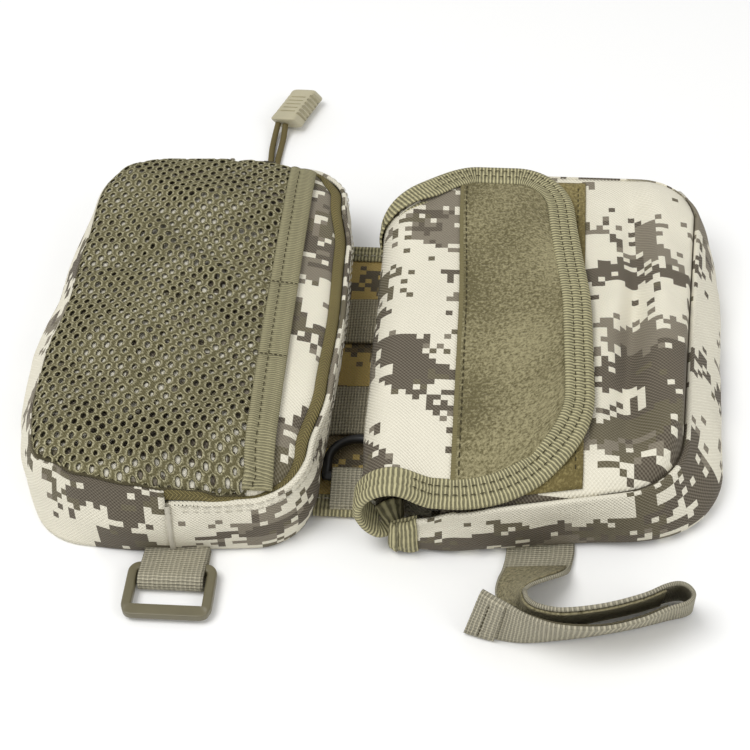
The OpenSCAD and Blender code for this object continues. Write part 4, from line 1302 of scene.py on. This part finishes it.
bridge = cloth("bridge_cloth", (24, 90), bridge_spot, lambda u, w: bridge_spot(u, w).xy)
thickened(bridge, 1.7, material_offset=1)
dressed(bridge, BRIDGE_CAMO, "bridge_cloth", "bridge", "bridge_panel", "bridge_lining", lining=LINING)


def band(name, y0, node):
    def place(u, w):
        x, y = mixed(-BRIDGE_X, BRIDGE_X, u), y0 + mixed(-12.5, 12.5, w)
        arch = 1.6 * math.sin(math.pi * u) * (0.7 + 0.3 * math.sin(math.pi * w))
        return Vector((x, y, 3.4 + arch + crumple(x, y, 18, y0) * 0.3))
    piece = cloth(name, (30, 24), place, lambda u, w: (u * 31, w * 25))
    return dressed(thickened(piece, 1.3), BAND_WEBBING, "webbing", "bridge", node)


band("bridge_row_far", 27, "bridge_web_far")
band("bridge_row_mid", -23, "bridge_web_mid")
for side, node in ((1, "bridge_hem_far"), (-1, "bridge_hem_near")):
    line = []
    for i in range(29):
        x = mixed(-BRIDGE_X, BRIDGE_X, i / 28) * side * -1
        line.append((Vector((x, side * (BRIDGE_Y + 0.4), 1.7)), UP.copy(), Vector((0, -side, 0))))
    hem = edge_tape(node + "_tape", line, 9, 1.0, under=1.5)
    dressed(hem, BINDING, "binding", "bridge", node)
    row = [(p + i * 6.4, n) for p, n, i in line]
    sewn(node + "_stitch", row, 1.8, PALE_THREAD, "piping", "bridge", 2.4, 1.0, 0.24)


# Webbing loops: a hairpin of webbing round a bar, drawn in the YZ plane and given its width.
def webbing_loop(name, centre_x, width, points, node, body):
    path = Path(points)

    def place(u, w):
        spot = path.at(u)
        edge = 0.045 * math.cos(math.pi * (w * 2 - 1))
        return Vector((mixed(centre_x - width / 2, centre_x + width / 2, w), spot.x, spot.y + edge))
    piece = cloth(name, (90, 12), place, lambda u, w: (u * path.length, w * width))
    return dressed(thickened(piece, 1.3, 0), WEBBING, "webbing", body, node)


def hairpin(bar, radius, top_start, low_start, toward):
    points = [Vector(top_start)]
    for i in range(19):
        angle = math.radians(mixed(100, -80, i / 18))
        points.append(Vector((bar[0] + toward * radius * math.cos(angle), bar[1] + radius * math.sin(angle))))
    points.append(Vector(low_start))
    return points


RING_X, RING_BAR = -63, (-103.1, 3.65)
RING_FOLD = (-108.2, 3.65)
webbing_loop("ring_webbing_loop", RING_X, 23.6, hairpin(RING_FOLD, 2.95, (-92.2, 3.0), (-92.2, 0.75), -1),
             "ring_webbing", "zip_pouch")
D_BAR = (-59, 6.45)
webbing_loop("d_ring_webbing", 0.5, 19.4, hairpin(D_BAR, 2.75, (-72.4, 5.0), (-72.4, 3.5), 1),
             "d_ring_tab", "bridge")


# Square ring: a rounded moulded bar swept round a rounded rectangle.
def square_ring():
    wide, long, corner = 14.4, 18.8, 2.6
    x0, x1 = RING_X - wide, RING_X + wide
    y0, y1 = RING_BAR[0] - long, RING_BAR[0]
    path = Path(rounded([(RING_X, y0, 0), (x1, y0, corner), (x1, y1, corner), (x0, y1, corner),
                         (x0, y0, corner), (RING_X, y0, 0)]))

    def place(u, w):
        spot, way = path.at(u).to_3d(), path.outward(u if 0.01 < u < 0.99 else 0.015)
        angle = TURN * w
        c, s = math.cos(angle), math.sin(angle)
        low_bar = eased((y0 + 1.5 - spot.y) / 1.2)
        half_wide = mixed(1.85, 2.35, low_bar)
        blunt = mixed(0.55, 0.2, low_bar)
        c = math.copysign(abs(c) ** blunt, c)
        s = math.copysign(abs(s) ** blunt, s)
        return spot + way * c * half_wide + UP * (RING_BAR[1] + s * mixed(1.95, 1.5, low_bar))
    piece = cloth("square_ring_bar", (240, 32), place, lambda u, w: (u * path.length, w * 12), closed=True)
    return dressed(piece, RING_BROWN, "ring_plastic", "square_ring", "square_ring")


square_ring()


# Strap: its two edges as laid, read as a smooth ribbon.
STRAP = [
    ((57.5, -83.06, 0.9), (82.5, -80.32, 0.9)), ((57.2, -89, 0.9), (82.3, -87, 1.1)),
    ((56, -95.6, 1), (80.6, -95, 2.8)),
    ((54.6, -100, 1), (77.6, -102.6, 10)), ((54, -105, 0.9), (71.6, -110.4, 17.6)),
    ((55.2, -110.5, 0.9), (66, -116.6, 22.8)), ((59, -116.2, 0.9), (63.4, -120.2, 24.8)),
    ((63, -119.8, 0.9), (63.2, -121.4, 25.6)), ((65.4, -121, 0.9), (64.4, -124.8, 25.4)),
    ((69.5, -120.6, 0.9), (68.5, -127, 25)), ((77, -118.5, 0.9), (77, -127.5, 24.2)),
    ((90, -114.5, 0.9), (91, -124.6, 23.8)), ((103, -110.5, 0.9), (104, -120, 24)),
    ((112, -107, 0.9), (111.5, -116, 24.2)), ((118, -105, 0.9), (116.4, -114.4, 24)),
    ((122, -105.4, 0.9), (119.8, -115.6, 23.7)), ((123.7, -108.6, 0.9), (121.2, -118.9, 23.6)),
    ((121.6, -111.4, 0.9), (118.8, -122, 23.4)), ((115, -113.6, 0.9), (112.5, -124.6, 23.2)),
    ((104, -117.4, 0.9), (103, -129.4, 22.8)), ((90, -121.2, 0.9), (90, -133.4, 22.7)),
    ((76, -124, 0.9), (75.2, -134.2, 23.7)), ((64, -125.6, 0.9), (64.6, -131.8, 25.1)),
    ((54, -124.6, 0.9), (57, -127.4, 25.5)), ((43.4, -121.8, 1.1), (48.6, -122, 25.5)),
]
STRAP_LOW = [Vector(a) for a, b in STRAP]
STRAP_HIGH = [Vector(b) for a, b in STRAP]


def strap_spot(t, w, lift=0.0):
    low, high = curved(STRAP_LOW, t), curved(STRAP_HIGH, t)
    step = 0.003
    way = (curved(STRAP_LOW, min(1, t + step)) + curved(STRAP_HIGH, min(1, t + step))
           - curved(STRAP_LOW, max(0, t - step)) - curved(STRAP_HIGH, max(0, t - step)))
    out = way.cross(high - low).normalized()
    return low.lerp(high, w) + out * lift, out


STRAP_WIDE = 25
STRAP_RUN = Path([strap_spot(i / 300, 0.5)[0] for i in range(301)])


def strap_piece(name, first, last, lift, inset, finish, slot, node, thick, fuzz=0.0):
    def place(u, w):
        t, across = mixed(first, last, u), mixed(inset, 1 - inset, w)
        spot, out = strap_spot(t, across, lift)
        return spot + out * fuzz * crumple(u * 90, w * STRAP_WIDE, 1.0, 61)
    cells = max(6, int((last - first) * 230))
    length = STRAP_RUN.length * (last - first)
    piece = cloth(name, (cells, 16), place, lambda u, w: (u * length, w * STRAP_WIDE * (1 - 2 * inset)))
    return dressed(thickened(piece, thick, 0, even_wall=False), finish, slot, "strap", node)


STRAP_GAPS = len(STRAP) - 1
strap_piece("strap_band", 0, 1, 0, 0, WEBBING, "webbing", "strap_webbing", 1.4)
strap_piece("strap_loop", 2 / STRAP_GAPS, 13 / STRAP_GAPS, 1.225, 0.06,
            PILE, "loop_pile", "strap_loop_patch", 0.8, 0.15)
strap_piece("strap_hook", 18 / STRAP_GAPS, 23 / STRAP_GAPS, 1.175, 0.06,
            HOOK, "hook_tape", "strap_hook_patch", 0.8)
strap_piece("strap_end_hem", 1 - 1 / STRAP_GAPS, 1, -1.35, 0.01, WEBBING, "webbing", "strap_hem", 1.1)
HEM_ROW = 0.978
hem_out = -strap_spot(HEM_ROW, 0.5)[1]
hem_row = [(strap_spot(HEM_ROW, mixed(0.06, 0.94, i / 20), -2.0)[0], hem_out) for i in range(21)]
sewn("strap_hem_stitch", hem_row, 0.1, KHAKI_THREAD, "webbing", "strap", 1.9, 0.7, 0.24)


# Zip pull: a cord looped round the slider's bar, laid along the floor to a ribbed tab.
CORD_D = 2.8
SLIDER_LOW, SLIDER_HIGH = (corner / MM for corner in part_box("slider_body"))
EYE = Vector(((SLIDER_LOW.x + SLIDER_HIGH.x) / 2, SLIDER_HIGH.y - 1.1, SLIDER_LOW.z + 3.8))
CORD_ROUTE = [
    (-3.0, 58.5, 5.2), (-4.1, 51.5, 2.2), (-4.4, 43.5, 1.5), (-4.0, 34.5, 1.5), (-3.8, 24.5, 2.2),
    (-3.7, 17, 6.5), (-3.4, 11, 13.5), (-3.0, 6, EYE.z - 5.6), (-2.85, 2.6, EYE.z - 1.4), (-2.75, 0, EYE.z),
    (-1.95, -1.95, EYE.z), (0, -2.75, EYE.z), (1.95, -1.95, EYE.z),
    (2.75, 0, EYE.z), (2.85, 2.6, EYE.z - 1.4), (2.2, 6, EYE.z - 5.6), (1.2, 11, 13.5), (0.4, 17, 6.5),
    (-0.5, 24.5, 2.2), (-0.8, 34.5, 1.5), (-0.4, 43.5, 1.5), (0.1, 51.5, 2.2), (0.5, 57.7, 5.2),
]
cord_points = [Vector((EYE.x + x, EYE.y + y, z)) for x, y, z in CORD_ROUTE]
fine = [curved(cord_points, i / 160) for i in range(161)]
cord_curve = bpy.data.curves.new("pull_cord_braid", "CURVE")
cord_curve.dimensions = "3D"
cord_curve.bevel_depth = CORD_D / 2 * MM
cord_curve.bevel_resolution = 4
cord_curve.use_fill_caps = True
spline = cord_curve.splines.new("POLY")
spline.points.add(len(fine) - 1)
for point, spot in zip(spline.points, fine):
    point.co = (*(spot * MM), 1)
pull_cord = bpy.data.objects.new("pull_cord_braid", cord_curve)
bpy.context.collection.objects.link(pull_cord)
cord_curve.materials.append(CORD_BRAID)
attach(pull_cord, "zip_slider")
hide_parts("pull_cord")


# A moulded tab: a leaning block with slanted ends, fine lines across its top and ribs down its sides.
TAB_L, TAB_W, TAB_T = 25.6, 13.0, 8.6
TAB_YAW, TAB_ROLL, TAB_SLANT = math.radians(20), math.radians(14), 5.0
RIB_PITCH, RIB_FROM, RIB_COUNT = 2.9, 5, 6
LINE_FROM, LINE_COUNT = 6, 5


def pull_tab():
    side = Vector((math.cos(TAB_YAW), -math.sin(TAB_YAW), 0))
    on = Vector((math.sin(TAB_YAW), math.cos(TAB_YAW), 0))
    across = side * math.cos(TAB_ROLL) + UP * math.sin(TAB_ROLL)
    up = UP * math.cos(TAB_ROLL) - side * math.sin(TAB_ROLL)
    high = TAB_W / 2 * math.sin(TAB_ROLL) + TAB_T * math.cos(TAB_ROLL) + 0.05
    start = Vector((EYE.x - 1.3, EYE.y + 55.6, high))

    def place(u, w):
        along = u * TAB_L
        cap = min(1, along / 1.4, (TAB_L - along) / 2.2)
        cap = mixed(0.7, 1, math.sqrt(max(0, 1 - (1 - cap) ** 2))) if 0 < u < 1 else 0
        angle = TURN * w
        c, s = math.cos(angle), math.sin(angle)
        c = math.copysign(abs(c) ** 0.3, c)
        s = math.copysign(abs(s) ** 0.3, s)
        rib = 0.5 + 0.5 * math.sin((along - RIB_FROM) / RIB_PITCH * TURN)
        ribbed = 1 if RIB_FROM < along < RIB_FROM + RIB_COUNT * RIB_PITCH else 0
        out = TAB_W / 2 * c * cap
        if abs(c) > 0.85:
            out -= math.copysign(1.3 * ribbed * rib * (1 - eased((s - 0.8) / 0.15)), c)
        line = max(0, 1 - abs((along - 5.6) % RIB_PITCH - RIB_PITCH / 2) / 0.55)
        rise = TAB_T / 2 * (s * cap - 1)
        lined = LINE_FROM < along < LINE_FROM + LINE_COUNT * RIB_PITCH
        if s > 0.9 and abs(out) < TAB_W / 2 - 2.3 and lined:
            rise -= 0.8 * line
        return start + on * (along - rise / TAB_T * TAB_SLANT) + across * out + up * rise

    piece = cloth("pull_tab_moulding", (200, 96), place, lambda u, w: (u * TAB_L, w * 40), closed=True)
    return dressed(piece, BEIGE, "beige_plastic", "zip_slider", "pull_tab")


tab = pull_tab()
cord_length = Path(fine).length * MM
tuple(fine[0] * MM)


# Carried-over solids get their finishes.
for node, finish in (("d_ring", BLACK), ("slider_body", SLIDER)):
    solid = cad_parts[node]
    solid.data.materials.clear()
    solid.data.materials.append(finish)
    for face in solid.data.polygons:
        face.use_smooth = node == "d_ring"


# Floor and light: a pale floor, an even sky, a broad key lamp and a weak fill.
FLOOR_SIZE, FLOOR_DROP = 8, 0.0002
SKY_STRENGTH = 0.62


def pale_floor():
    alone()
    bpy.ops.mesh.primitive_plane_add(size=FLOOR_SIZE, location=(0, 0, -FLOOR_DROP))
    floor = bpy.context.object
    floor.name = "floor"
    f = Finish("pale floor", 0.9)
    f.colour((0.94, 0.94, 0.93, 1))
    floor.data.materials.append(f.material)


pale_floor()
world = bpy.data.worlds.new("studio")
bpy.context.scene.world = world
world.use_nodes = True
sky = world.node_tree.nodes["Background"]
sky.inputs["Color"].default_value = (1, 1, 1, 1)
sky.inputs["Strength"].default_value = SKY_STRENGTH


def lamp(name, place, size, power):
    data = bpy.data.lights.new(name, "AREA")
    data.shape = "DISK"
    data.size = size
    data.energy = power
    light = bpy.data.objects.new(name, data)
    light.location = place
    light.rotation_euler = Vector(place).to_track_quat("Z", "Y").to_euler()
    bpy.context.collection.objects.link(light)


lamp("key", (-0.5, -0.35, 1.3), 0.8, 11)
lamp("fill", (0.9, -0.6, 0.9), 0.8, 3)

bpy.context.scene.view_settings.view_transform = "Standard"
